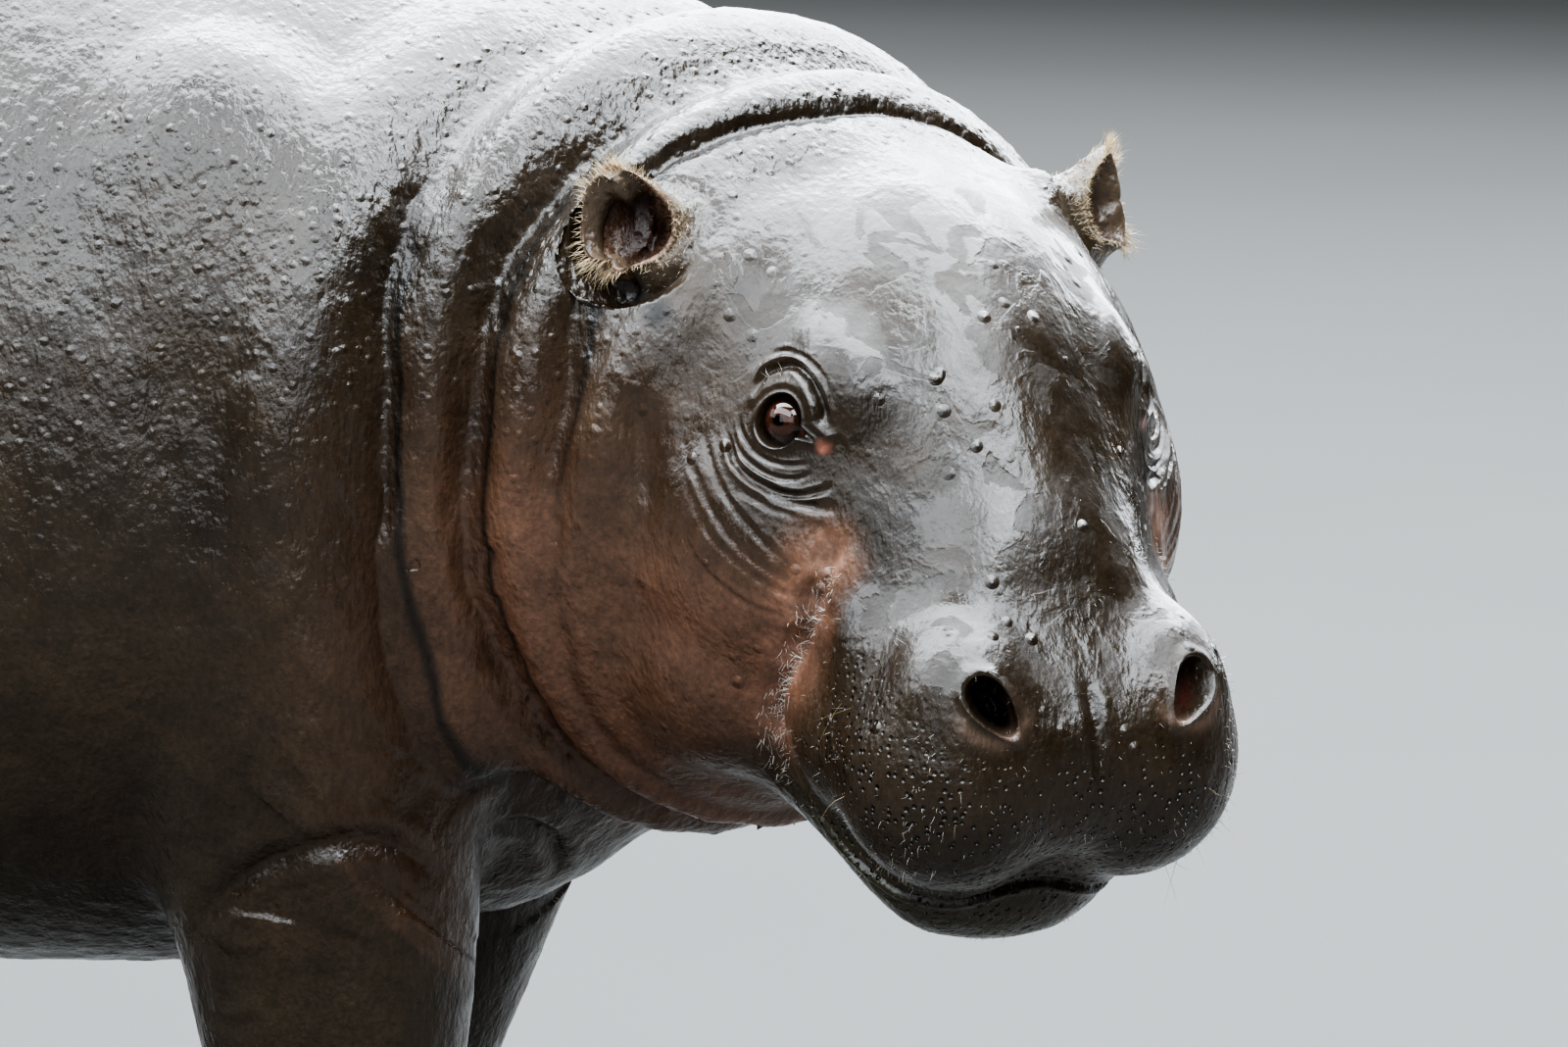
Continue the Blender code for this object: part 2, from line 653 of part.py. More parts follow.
def part_flesh(body, parts, helpers):
    """Cuts the body into nodes: each takes what lies inside its cutter and leaves the rest."""
    inside, outside = -GAP / 2, GAP / 2
    makers = {name: leg_cutter for name in LEGS}
    makers |= {"tail": tail_cutter, "head": head_cutter, "neck": neck_cutter}
    pieces = {}
    for name, maker in makers.items():
        pieces[name] = piece_of(body, name, parts)
        cut(pieces[name], maker(name, inside, helpers), "INTERSECT")
        cut(body, maker(name, outside, helpers))
    cut(pieces["neck"], bpy.data.objects[cut_name("head", outside)])
    pieces["lower_jaw"] = piece_of(pieces["head"], "lower_jaw", parts)
    cut(pieces["lower_jaw"], jaw_cutter("lower_jaw", inside, helpers), "INTERSECT")
    cut(pieces["head"], jaw_cutter("lower_jaw", outside, helpers))
    for name in EARS:
        pocket = ear_pocket(name, helpers)
        cut(pieces["head"], pocket)
        cut(pieces["neck"], pocket)
    for hollow in (eye_sockets(helpers), lid_gaps(helpers), nostril_pits(helpers)):
        cut(pieces["head"], hollow)
    for name in LEGS:
        cut(pieces[name], nail_pockets(name, helpers))
    body.name = "trunk"
    return {"trunk": body, **pieces}


def centre_on_origin(objects):
    """Moves the meshes so that the middle of the whole box stands over the origin."""
    corners = [np.array([v.co for v in obj.data.vertices]) for obj in objects]
    low = np.min([points.min(axis=0) for points in corners], axis=0)
    high = np.max([points.max(axis=0) for points in corners], axis=0)
    middle = (low + high) / 2
    for obj in objects:
        obj.data.transform(Matrix.Translation((-middle[0], -middle[1], 0)))


def drop_chips(obj):
    """Keeps the largest connected piece: a pocket can leave a chip of a toe in front of a nail."""
    bm = bmesh.new()
    bm.from_mesh(obj.data)
    left = set(bm.verts)
    pieces = []
    while left:
        found = [left.pop()]
        for vert in found:
            beside = {edge.other_vert(vert) for edge in vert.link_edges} & left
            left -= beside
            found.extend(beside)
        pieces.append(found)
    pieces.sort(key=len)
    bmesh.ops.delete(bm, geom=[vert for piece in pieces[:-1] for vert in piece], context="VERTS")
    bm.to_mesh(obj.data)
    bm.free()


def main():
    clear_scene()
    parts = collection("pygmy_hippopotamus")
    helpers = collection("cutters")
    skin, eye, nail = (material(*look) for look in (SKIN, EYE, NAIL))
    body = merged_flesh(parts)
    settle(body)
    collapse(body, EVEN_TRIANGLES)
    collapse(body, FLESH_TRIANGLES, spare_head=True)
    flat_soles(body, helpers)
    flesh = list(part_flesh(body, parts, helpers).values())
    ears = [new_object(name, ear_form(name, EAR_PROFILE), parts) for name in EARS]
    eyes = []
    for name, side in (("eye_left", 1), ("eye_right", -1)):
        bm = bmesh.new()
        at = Matrix.Translation((EYE_AT.x, side * EYE_AT.y, EYE_AT.z))
        bmesh.ops.create_icosphere(bm, subdivisions=3, radius=EYE_RADIUS, matrix=HEAD @ at)
        eyes.append(new_object(name, bm, parts))
    nails = []
    for leg in LEGS:
        for name, centre, spread in nails_of(leg):
            bm = bmesh.new()
            add_nail(bm, centre, spread)
            nails.append(new_object(name, bm, parts))
    for obj in flesh:
        settle(obj)
        drop_chips(obj)
    for objects, look in ((flesh + ears, skin), (eyes, eye), (nails, nail)):
        for obj in objects:
            obj.data.materials.clear()
            obj.data.materials.append(look)
    centre_on_origin(flesh + ears + eyes + nails)


if __name__ == "__main__":
    main()
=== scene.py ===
"""Looks of the pygmy hippopotamus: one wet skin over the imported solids, eyes, nails and bristles.

The skin is made from the same forms as the solids, merged on the same grid, then refined and
sculpted by functions of the place on the animal. All lengths are in metres.
The head's own frame has X to the nose, Y to the left and Z to the crown.
"""

import json
import math

import bmesh
import bpy
import numpy as np
from mathutils import Matrix, Vector
from mathutils.bvhtree import BVHTree

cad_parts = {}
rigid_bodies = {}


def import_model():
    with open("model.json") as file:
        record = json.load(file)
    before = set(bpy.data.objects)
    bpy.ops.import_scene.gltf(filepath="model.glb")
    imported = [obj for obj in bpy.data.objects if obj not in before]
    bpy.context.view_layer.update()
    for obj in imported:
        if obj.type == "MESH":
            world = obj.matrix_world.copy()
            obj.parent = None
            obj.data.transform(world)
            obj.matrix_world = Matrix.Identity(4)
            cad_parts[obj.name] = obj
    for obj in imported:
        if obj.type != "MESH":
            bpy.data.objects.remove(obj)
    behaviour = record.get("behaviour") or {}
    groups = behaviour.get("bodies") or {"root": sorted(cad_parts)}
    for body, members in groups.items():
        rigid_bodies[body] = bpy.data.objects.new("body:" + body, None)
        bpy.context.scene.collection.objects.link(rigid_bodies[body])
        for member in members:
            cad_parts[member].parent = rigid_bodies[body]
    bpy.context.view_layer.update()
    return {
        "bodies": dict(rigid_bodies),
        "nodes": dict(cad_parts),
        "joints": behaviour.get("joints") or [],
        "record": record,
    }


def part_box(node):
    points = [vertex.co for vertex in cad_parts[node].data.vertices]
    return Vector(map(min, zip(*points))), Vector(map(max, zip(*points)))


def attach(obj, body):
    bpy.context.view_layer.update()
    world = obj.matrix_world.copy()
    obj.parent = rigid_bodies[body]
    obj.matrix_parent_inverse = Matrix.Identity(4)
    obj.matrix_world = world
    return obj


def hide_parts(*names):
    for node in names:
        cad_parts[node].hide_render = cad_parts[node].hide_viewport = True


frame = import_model()

RANDOM = np.random.default_rng(7)

# ---- Forms, as in the solids ----
WITHERS = 0.79  # height over the shoulders
BACK = 0.845  # height of the highest part of the back
BELLY = 0.260  # height of the lowest part of the belly
GIRTH_HALF = 0.262  # half the width of the barrel
VOXEL = 0.006  # grid on which the forms are merged
MERGE_SMOOTHING = 14
FINE = (72, 5)  # points in a ring, and rings from one station to the next
DOME_RINGS = 3
SPHERE_FINENESS = 4
LEG_DOME = 0.03
TAIL_DOMES = (0.01, 0.01)
HEAD_AT = Vector((0.585, -0.100, 0.570))
HEAD_TURN = math.radians(-40)
HEAD_DROP = math.radians(36)
HEAD = (
    Matrix.Translation(HEAD_AT)
    @ Matrix.Rotation(HEAD_TURN, 4, "Z")
    @ Matrix.Rotation(HEAD_DROP, 4, "Y")
)
EYE_AT = (-0.007, 0.084, -0.007)
EYE_RADIUS = 0.016
EARS = {
    # root, and the way in which the ear opens, in the head's frame
    "left": ((-0.119, 0.092, 0.001), (0.34, 0.82, 0.42)),
    "right": ((-0.123, -0.105, 0.005), (0.28, -0.88, 0.36)),
}
EAR_UP = (-0.50, 0.0, 0.85)
NECK_STATIONS = [
    # x, y and z of the middle, half width, above, below and squareness
    (0.286, 0.000, 0.540, 0.222, 0.212, 0.225, 2.1),
    (0.393, -0.008, 0.560, 0.190, 0.176, 0.213, 2.1),
    (0.455, -0.028, 0.557, 0.169, 0.164, 0.203, 2.1),
    (0.500, -0.052, 0.531, 0.152, 0.150, 0.172, 2.1),
    (0.530, -0.075, 0.528, 0.120, 0.110, 0.140, 2.1),
]
NECK_SHARES = (0.0, 0.25, 0.5, 0.75, 1.0)  # of its length, for the turns and drops in degrees
NECK_TURNS = (-5, -20, -31, -38, -40)
NECK_DROPS = (0, -2, 3, 10, 16)
ROLL_SWELL = 0.085  # share by which the fullest roll of the neck stands out
JAW_LEAN = 26.0  # degrees by which the head's rear rings lean, up to this share of its length
LEAN_UNTIL = 0.5
FORE_X, FORE_Y = 0.268, 0.125
HIND_X, HIND_Y = -0.455, 0.138
STRIDE = {"fore_right": 0.010, "fore_left": -0.130, "hind_right": -0.045, "hind_left": 0.050}
STRIDE_FROM = 0.46  # height from which a leg leans for its stride
TOES = (-1.5, -0.5, 0.5, 1.5)  # places of the toes across the foot, in toes
SOLE_DEPTH = 0.032  # how far a leg reaches past its last station

# ---- Grid of the skin ----
EAR_RINGS = 64  # points round an ear
HEAD_ROOM = ((0.030, 0.0, -0.070), 0.215)  # middle and radius of what is refined as head
FINE_FROM_X = -0.02  # ahead of this the whole body is refined once
FINE_BELOW = 0.075
FINE_PLACES = [
    # middle in the head's frame, on both sides, and radii of the first and the second refining
    ((0.000, 0.096, -0.003), 0.040, 0.027),
    ((0.168, 0.050, -0.027), 0.032),
    ((0.150, 0.045, -0.142), 0.046),
    ((0.095, 0.080, -0.130), 0.042),
]
SPLIT_SMOOTHING = 3
FOLD_ROOM = 0.013  # to each side of a neck fold, where the grid is finer
FOLD_BOWS = (0.0, 0.0, 0.0, 0.028)  # how far back each fold of the neck bows at the nape
BOW_HEIGHTS = (0.03, 0.16)  # over the neck's middle, where the bow starts and is full
NECK_REACH = 0.30  # no part of a fold is further from the neck's middle
INSET = 0.0008  # how deep the skin lies in the solids
SHARE_OF_MAP = 0.94  # of the map's height that the body takes; the ears have the rest


# ---------------------------------------------------------------- forms


def smooth_between(rows, steps):
    """Catmull-Rom through the rows of numbers, with steps of them from each row to the next."""
    rows = np.array(rows, float)
    ends = np.vstack([2 * rows[0] - rows[1], rows, 2 * rows[-1] - rows[-2]])
    found = []
    for a, b, c, d in zip(ends, ends[1:], ends[2:], ends[3:]):
        for t in np.arange(steps) / steps:
            bend = t * t * (a - 2.5 * b + 2 * c - 0.5 * d)
            twist = 0.5 * t**3 * (3 * b - a - 3 * c + d)
            found.append(b + 0.5 * t * (c - a) + bend + twist)
    return np.array(found + [rows[-1]])


def ring(around, scale, centre, side, up, half, above, below, squareness):
    """Points of a superellipse that is half wide, above tall over its centre and below deep."""
    points = []
    for k in range(around):
        turn = 2 * math.pi * k / around
        c, s = math.cos(turn), math.sin(turn)
        across = math.copysign(abs(c) ** (2 / squareness), c) * half
        height = math.copysign(abs(s) ** (2 / squareness), s) * (above if s > 0 else below)
        points.append(centre + scale * (across * side + height * up))
    return points


def skin_rings(bm, rings, start, end):
    """Quads between neighbouring rings, and a fan to the point start and to the point end."""
    rows = [[bm.verts.new(point) for point in points] for points in rings]
    count = len(rows[0])
    for low, high in zip(rows, rows[1:]):
        for k in range(count):
            bm.faces.new((low[k - 1], low[k], high[k], high[k - 1]))
    tips = []
    for row, tip in ((rows[0], start), (rows[-1], end)):
        tips.append(bm.verts.new(tip))
        for k in range(count):
            bm.faces.new((row[k - 1], row[k], tips[-1]))
    return [vert for row in rows for vert in row] + tips


def loft(bm, stations, frame, domes, swell=None):
    """A closed form through stations of (x, y, z, half, above, below, squareness).

    frame gives a ring's side and up for its share of the way along the form, domes are how far
    the rounded ends reach past the first and the last station, and swell scales a ring.
    """
    around, steps = FINE
    rows = smooth_between(stations, steps).tolist()
    last = len(rows) - 1
    rings = []
    for i, row in enumerate(rows):
        scale = swell(i / last) if swell else 1.0
        rings.append(ring(around, scale, Vector(row[:3]), *frame(i / last), *row[3:]))
    ends = []
    for i, beside, reach in ((0, 1, domes[0]), (last, last - 1, domes[1])):
        centre = Vector(rows[i][:3])
        ahead = (centre - Vector(rows[beside][:3])).normalized() * reach
        dome = []
        for k in range(1, DOME_RINGS):
            turn = math.pi / 2 * k / DOME_RINGS
            at = centre + ahead * math.sin(turn)
            dome.append(ring(around, math.cos(turn), at, *frame(i / last), *rows[i][3:]))
        ends.append((dome, centre + ahead))
    (first, start), (final, end) = ends
    return skin_rings(bm, first[::-1] + rings + final, start, end)


def steady(side, up):
    return lambda share: (Vector(side), Vector(up))


def swelling(bm, centre, radii, turn, within=None):
    """An ellipsoid, turned by degrees about X, Y and Z, in the frame of the matrix within."""
    spin = [Matrix.Rotation(math.radians(a), 4, axis) for a, axis in zip(turn, "XYZ")]
    place = Matrix.Translation(centre) @ spin[2] @ spin[1] @ spin[0]
    place = (within or Matrix()) @ place @ Matrix.Diagonal((*radii, 1))
    bmesh.ops.create_icosphere(bm, subdivisions=SPHERE_FINENESS, radius=1.0, matrix=place)


def swellings(bm, rows, within=None):
    """Ellipsoids of (centre, radii, turn), with the mirror image of each off the midline."""
    for centre, radii, turn in rows:
        swelling(bm, centre, radii, turn, within)
        if centre[1]:
            opposite = (centre[0], -centre[1], centre[2])
            swelling(bm, opposite, radii, (-turn[0], turn[1], -turn[2]), within)


# Stations are x, y and z of the widest level, half width, above, below and squareness.
TRUNK_STATIONS = [
    (-0.640, 0, 0.590, 0.110, 0.100, 0.130, 2.0),
    (-0.580, 0, 0.575, 0.170, 0.185, 0.190, 2.1),
    (-0.480, 0, 0.550, 0.212, 0.262, 0.225, 2.1),
    (-0.330, 0, 0.515, 0.242, BACK - 0.519, 0.235, 2.1),
    (-0.150, 0, 0.495, GIRTH_HALF, BACK - 0.495, 0.233, 2.1),
    (0.020, 0, 0.490, GIRTH_HALF, 0.336, 0.490 - BELLY, 2.1),
    (0.160, 0, 0.505, 0.238, WITHERS - 0.498, 0.240, 2.1),
    (0.270, 0, 0.530, 0.208, 0.236, 0.232, 2.0),
    (0.360, 0, 0.550, 0.176, 0.188, 0.205, 2.0),
]
TRUNK_SWELLINGS = [
    # shoulder blade and point of the shoulder
    ((0.190, 0.125, 0.540), (0.150, 0.095, 0.200), (0, 12, 0)),
    ((0.290, 0.115, 0.440), (0.090, 0.070, 0.100), (0, 0, 0)),
    # haunch and point of the hip
    ((-0.440, 0.110, 0.550), (0.165, 0.110, 0.190), (0, -18, 0)),
    ((-0.290, 0.105, 0.715), (0.070, 0.065, 0.055), (0, 0, 0)),
    # brisket between the fore legs
    ((0.260, 0, 0.370), (0.150, 0.100, 0.085), (0, -14, 0)),
]
HEAD_STATIONS = [
    (-0.058, 0, -0.090, 0.148, 0.156, 0.168, 1.85),
    (-0.020, 0, -0.088, 0.142, 0.162, 0.152, 1.80),
    (0.022, 0, -0.084, 0.122, 0.142, 0.136, 1.80),
    (0.060, 0, -0.080, 0.096, 0.108, 0.120, 1.90),
    (0.092, 0, -0.072, 0.080, 0.086, 0.096, 2.1),
    (0.125, 0, -0.068, 0.080, 0.060, 0.058, 2.4),
    (0.160, 0, -0.072, 0.082, 0.049, 0.044, 2.4),
]
HEAD_SWELLINGS = [
    # upper lip: two full pads, what lies behind them, and what joins them at the midline
    ((0.143, 0.043, -0.084), (0.063, 0.057, 0.0615), (0, 10, 4)),
    ((0.098, 0.056, -0.103), (0.052, 0.042, 0.046), (0, 8, 0)),
    ((0.146, 0, -0.099), (0.042, 0.034, 0.043), (0, 0, 0)),
    # edge of the bridge of the nose, and the flat top of the muzzle
    ((0.101, 0.062, -0.050), (0.054, 0.036, 0.022), (-40, 14, 0)),
    ((0.142, 0.049, -0.046), (0.046, 0.038, 0.034), (0, 20, 0)),
    # cheek and jowl
    ((-0.018, 0.088, -0.084), (0.090, 0.052, 0.074), (0, -10, -12)),
    ((-0.018, 0.068, -0.140), (0.088, 0.068, 0.078), (0, -12, 0)),
    # brow over the eye, mound of the lids, and root of the ear
    ((-0.012, 0.064, 0.017), (0.040, 0.026, 0.024), (0, 10, 0)),
    ((-0.006, 0.077, -0.008), (0.029, 0.024, 0.027), (0, 0, 0)),
    ((-0.112, 0.084, 0.010), (0.024, 0.020, 0.028), (0, 0, 0)),
]
JAW_STATIONS = [
    (-0.020, 0, -0.160, 0.094, 0.060, 0.070, 2.2),
    (0.040, 0, -0.152, 0.084, 0.050, 0.066, 2.2),
    (0.095, 0, -0.148, 0.076, 0.040, 0.048, 2.3),
    (0.140, 0, -0.148, 0.066, 0.030, 0.045, 2.3),
]


def add_trunk(bm):
    """Barrel of the body, from the buttocks to the base of the neck."""
    loft(bm, TRUNK_STATIONS, steady((0, 1, 0), (0, 0, 1)), (0.045, 0.060))
    swellings(bm, TRUNK_SWELLINGS)


def neck_spin(turn, drop):
    """Which way the neck points, for its turn and drop in degrees."""
    spin = Matrix.Rotation(math.radians(turn), 3, "Z")
    return spin @ Matrix.Rotation(math.radians(drop), 3, "Y")


def neck_frame(share):
    """Side and up of the neck, which turns from the trunk's way towards the head's."""
    turn, drop = (np.interp(share, NECK_SHARES, angles) for angles in (NECK_TURNS, NECK_DROPS))
    spin = neck_spin(turn, drop)
    return spin @ Vector((0, 1, 0)), spin @ Vector((0, 0, 1))


def roll_swell(share):
    """Rolls of loose skin: each is rounded, with a crease at the station before the next."""
    place = share * (len(NECK_STATIONS) - 1)
    depth = ROLL_SWELL * min(1.0, 0.3 + 0.5 * place)
    return 1 + depth * (abs(math.sin(math.pi * place)) ** 0.7 - 0.4)


def add_neck(bm):
    loft(bm, NECK_STATIONS, neck_frame, (0.02, 0.04), roll_swell)


def head_frame(share):
    """Side and up of the head's rings: the rear ones lie in line with the folds of the neck."""
    lean = math.radians(JAW_LEAN) * max(0.0, 1 - share / LEAN_UNTIL)
    return Vector((0, 1, 0)), Vector((-math.sin(lean), 0, math.cos(lean)))


def add_head(bm):
    verts = loft(bm, HEAD_STATIONS, head_frame, (0.03, 0.042))
    verts += loft(bm, JAW_STATIONS, steady((0, 1, 0), (0, 0, 1)), (0.02, 0.046))
    bmesh.ops.transform(bm, matrix=HEAD, verts=verts)
    swellings(bm, HEAD_SWELLINGS, HEAD)


def step(x, z, stride):
    """Where a leg's station stands once the foot has moved forward by stride."""
    return x + stride * max(0.0, 1 - z / STRIDE_FROM)


def add_leg(bm, stations, x, y, side, stride):
    """A leg from stations of (dx, dy, z, half width, forward, backward, squareness)."""
    placed = [(step(x + dx, z, stride), side * (y + dy), z, *rest) for dx, dy, z, *rest in stations]
    loft(bm, placed, steady((0, 1, 0), (1, 0, 0)), (LEG_DOME, SOLE_DEPTH))


def toe_place(leg, k):
    """Centre of a toe and its turn in degrees; the outer pair sits further back."""
    _, x, y, side = LEGS[leg]
    spread = 20.0 * k
    reach = 0.060 - 0.011 * (abs(k) - 0.5)
    centre = (
        x + STRIDE[leg] + 0.006 + reach * math.cos(math.radians(spread)),
        side * (y + 1.35 * reach * math.sin(math.radians(spread))),
        0.018 + 0.004 * (abs(k) - 0.5),
    )
    return Vector(centre), side * spread


def add_foot(bm, leg):
    for k in TOES:
        centre, spread = toe_place(leg, k)
        size = 1.0 - 0.10 * (abs(k) - 0.5)
        swelling(bm, centre, (0.032 * size, 0.0175 * size, 0.024 * size), (0, 14, spread))


FORE_STATIONS = [
    (-0.030, 0.010, 0.620, 0.070, 0.095, 0.100, 2.0),
    (-0.020, 0.012, 0.500, 0.080, 0.105, 0.110, 2.0),
    (-0.008, 0.006, 0.400, 0.076, 0.088, 0.098, 2.1),
    (0.000, 0.000, 0.320, 0.066, 0.074, 0.080, 2.1),
    (0.000, -0.004, 0.230, 0.055, 0.062, 0.062, 2.1),
    (0.002, -0.006, 0.150, 0.046, 0.050, 0.049, 2.1),
    (0.004, -0.006, 0.100, 0.047, 0.052, 0.048, 2.1),
    (0.008, -0.005, 0.055, 0.052, 0.056, 0.048, 2.2),
    (0.010, -0.005, 0.012, 0.055, 0.056, 0.050, 2.2),
]
HIND_STATIONS = [
    (0.015, -0.030, 0.640, 0.080, 0.130, 0.120, 2.0),
    (0.020, -0.012, 0.530, 0.094, 0.150, 0.135, 2.0),
    (0.030, -0.002, 0.420, 0.086, 0.128, 0.112, 2.1),
    (0.010, 0.000, 0.330, 0.070, 0.090, 0.084, 2.1),
    (-0.014, -0.003, 0.240, 0.054, 0.062, 0.066, 2.1),
    (-0.016, -0.006, 0.165, 0.045, 0.050, 0.053, 2.1),
    (-0.008, -0.007, 0.105, 0.046, 0.051, 0.047, 2.1),
    (0.002, -0.006, 0.055, 0.052, 0.056, 0.047, 2.2),
    (0.006, -0.006, 0.012, 0.055, 0.056, 0.049, 2.2),
]
LEGS = {
    "fore_right": (FORE_STATIONS, FORE_X, FORE_Y, -1),
    "fore_left": (FORE_STATIONS, FORE_X, FORE_Y, 1),
    "hind_right": (HIND_STATIONS, HIND_X, HIND_Y, -1),
    "hind_left": (HIND_STATIONS, HIND_X, HIND_Y, 1),
}

TAIL_STATIONS = [
    (-0.630, 0, 0.690, 0.034, 0.034, 0.026, 2.0),
    (-0.668, 0, 0.662, 0.027, 0.024, 0.021, 2.0),
    (-0.688, 0, 0.610, 0.020, 0.016, 0.016, 2.0),
    (-0.695, 0, 0.550, 0.016, 0.011, 0.011, 2.0),
    (-0.698, 0, 0.500, 0.014, 0.008, 0.008, 2.0),
]


def add_tail(bm):
    loft(bm, TAIL_STATIONS, steady((0, 1, 0), (1, 0, 0.2)), TAIL_DOMES)


# ---------------------------------------------------------------- meshes and points


def linked(name, data):
    """A new object in the scene."""
    obj = bpy.data.objects.new(name, data)
    bpy.context.scene.collection.objects.link(obj)
    return obj


def new_object(name, bm):
    mesh = bpy.data.meshes.new(name)
    bm.to_mesh(mesh)
    bm.free()
    return linked(name, mesh)


def settle(obj):
    """Puts the evaluated shape in place of the object's mesh and modifiers."""
    bpy.context.view_layer.update()
    evaluated = obj.evaluated_get(bpy.context.evaluated_depsgraph_get())
    mesh = bpy.data.meshes.new_from_object(evaluated)
    obj.modifiers.clear()
    obj.data = mesh


def read(things, key, width=1, kind=np.float32):
    """One property of all the vertices, edges, corners or faces: numbers, or rows of them."""
    flat = np.empty(len(things) * width, kind)
    things.foreach_get(key, flat)
    return flat.reshape(-1, width) if width > 1 else flat


def points_of(mesh):
    return read(mesh.vertices, "co", 3).astype(float)


def normals_of(mesh):
    return read(mesh.vertices, "normal", 3).astype(float)


def set_points(mesh, points):
    mesh.vertices.foreach_set("co", points.astype(np.float32).ravel())
    mesh.update()


def add_colours(mesh, name, colour, alpha):
    """Stores a colour and an alpha for each vertex, for the materials to read."""
    layer = mesh.color_attributes.new(name, "FLOAT_COLOR", "POINT")
    layer.data.foreach_set("color", np.column_stack([colour, alpha]).astype(np.float32).ravel())


def smooth(points, edges, weight, rounds):
    """Each point moves towards the middle of its neighbours, by its weight."""
    ends = np.concatenate([edges, edges[:, ::-1]])
    count = np.bincount(ends[:, 0], minlength=len(points))[:, None]
    for _ in range(rounds):
        middle = np.stack(
            [np.bincount(ends[:, 0], points[ends[:, 1], k], len(points)) for k in range(3)], 1
        )
        points = points + weight[:, None] * (middle / np.maximum(count, 1) - points)
    return points


def ramp(value, low, high):
    """0 below low, 1 above high and smooth between."""
    t = np.clip((value - low) / (high - low), 0, 1)
    return t * t * (3 - 2 * t)


def bell(value, width):
    return np.exp(-((value / width) ** 2))


def bell_round(turn, middle, width):
    """The bell of an angle from its middle, the short way round."""
    return bell(np.angle(np.exp(1j * (turn - middle))), width)


def unit(vectors):
    vectors = np.asarray(vectors, float)
    return vectors / np.linalg.norm(vectors, axis=-1, keepdims=True)


HASH = np.array([73856093, 19349663, 83492791], np.int64)


def lattice(cells, seed):
    """A number from -1 to 1 for each cell."""
    mixed = (cells * HASH).sum(-1) + seed * 2654435761
    mixed = (mixed ^ (mixed >> 13)) * 1274126177
    return ((mixed ^ (mixed >> 16)) & 0xFFFF) / 32767.5 - 1


def noise(points, size, seed=0):
    """Smooth noise from -1 to 1, with features of that size in metres (or three sizes)."""
    places = points / np.asarray(size, float) + 1000
    cells = np.floor(places).astype(np.int64)
    part = places - cells
    part = part * part * (3 - 2 * part)
    total = np.zeros(len(points))
    for corner in np.ndindex(2, 2, 2):
        share = np.prod(np.where(corner, part, 1 - part), axis=1)
        total += share * lattice(cells + np.array(corner), seed)
    return total


# ---------------------------------------------------------------- where the frame has it

eye_boxes = [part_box(name) for name in ("eye_left", "eye_right")]
EYES_MIDDLE = sum((corner for box in eye_boxes for corner in box), Vector()) / 4
SHIFT = EYES_MIDDLE - HEAD @ Vector((EYE_AT[0], 0, EYE_AT[2]))
SHIFT.z = 0.0
HEAD_SPIN = np.array(HEAD.to_3x3())
HEAD_PLACE = np.array(HEAD_AT + SHIFT)


def into_head(points):
    return (np.asarray(points) - HEAD_PLACE) @ HEAD_SPIN


def from_head(points):
    return np.asarray(points) @ HEAD_SPIN.T + HEAD_PLACE


def mirrored(place, side):
    """The place on the left side of the head, or its mirror image for side -1."""
    return np.asarray(place, float) * (1, side, 1)


def on_both_sides(places):
    return [mirrored(place, side) for place in places for side in (1, -1)]


# ---------------------------------------------------------------- making the skin


def whole_body():
    """The forms of the whole body, merged as the solids are."""
    bm = bmesh.new()
    add_trunk(bm)
    add_neck(bm)
    add_head(bm)
    for name, (stations, x, y, side) in LEGS.items():
        add_leg(bm, stations, x, y, side, STRIDE[name])
        add_foot(bm, name)
    add_tail(bm)
    bm.transform(Matrix.Translation(SHIFT))
    bmesh.ops.recalc_face_normals(bm, faces=bm.faces)
    body = new_object("skin", bm)
    merge = body.modifiers.new("merge", "REMESH")
    merge.mode = "VOXEL"
    merge.voxel_size = VOXEL
    fillet = body.modifiers.new("fillet", "SMOOTH")
    fillet.factor = 0.5
    fillet.iterations = MERGE_SMOOTHING
    settle(body)
    return body


def unwrap(body):
    """The map for the skin's colours; the ears get its top strip later."""
    bpy.context.view_layer.objects.active = body
    body.select_set(True)
    bpy.ops.object.mode_set(mode="EDIT")
    bpy.ops.mesh.select_all(action="SELECT")
    bpy.ops.uv.smart_project(angle_limit=math.radians(66), island_margin=0.002)
    bpy.ops.object.mode_set(mode="OBJECT")
    layer = body.data.uv_layers.active
    layer.name = "OFBake"
    layer.data.foreach_set("uv", (read(layer.data, "uv", 2) * (1, SHARE_OF_MAP)).ravel())


def fold_planes():
    """Middle and way of each ring round the neck at which the skin folds."""
    for station, turn, drop in zip(NECK_STATIONS, NECK_TURNS, NECK_DROPS):
        way = neck_spin(turn, drop) @ Vector((1, 0, 0))
        yield np.array(Vector(station[:3]) + SHIFT), np.array(way)


def from_fold(points, number):
    """How far each point lies ahead of a fold of the neck, and how far from the neck's middle."""
    middle, way = list(fold_planes())[number]
    offset = points - middle
    bow = FOLD_BOWS[number] * ramp(offset[:, 2], *BOW_HEIGHTS)
    return offset @ way + bow, np.linalg.norm(offset, axis=1)


def near_fold(points):
    found = np.zeros(len(points), bool)
    for number in range(len(FOLD_BOWS)):
        distance, reach = from_fold(points, number)
        found |= (abs(distance) < FOLD_ROOM) & (reach < NECK_REACH)
    return found


def in_head(points):
    middle, radius = HEAD_ROOM
    return np.linalg.norm(into_head(points) - middle, axis=1) < radius


def middles_of(bm):
    return np.array([face.calc_center_median()[:] for face in bm.faces])


def soften(bm, verts, rounds):
    """Draws each vert toward the middle of its neighbours, a few times."""
    for _ in range(rounds):
        bmesh.ops.smooth_vert(
            bm, verts=verts, factor=0.5, use_axis_x=True, use_axis_y=True, use_axis_z=True
        )


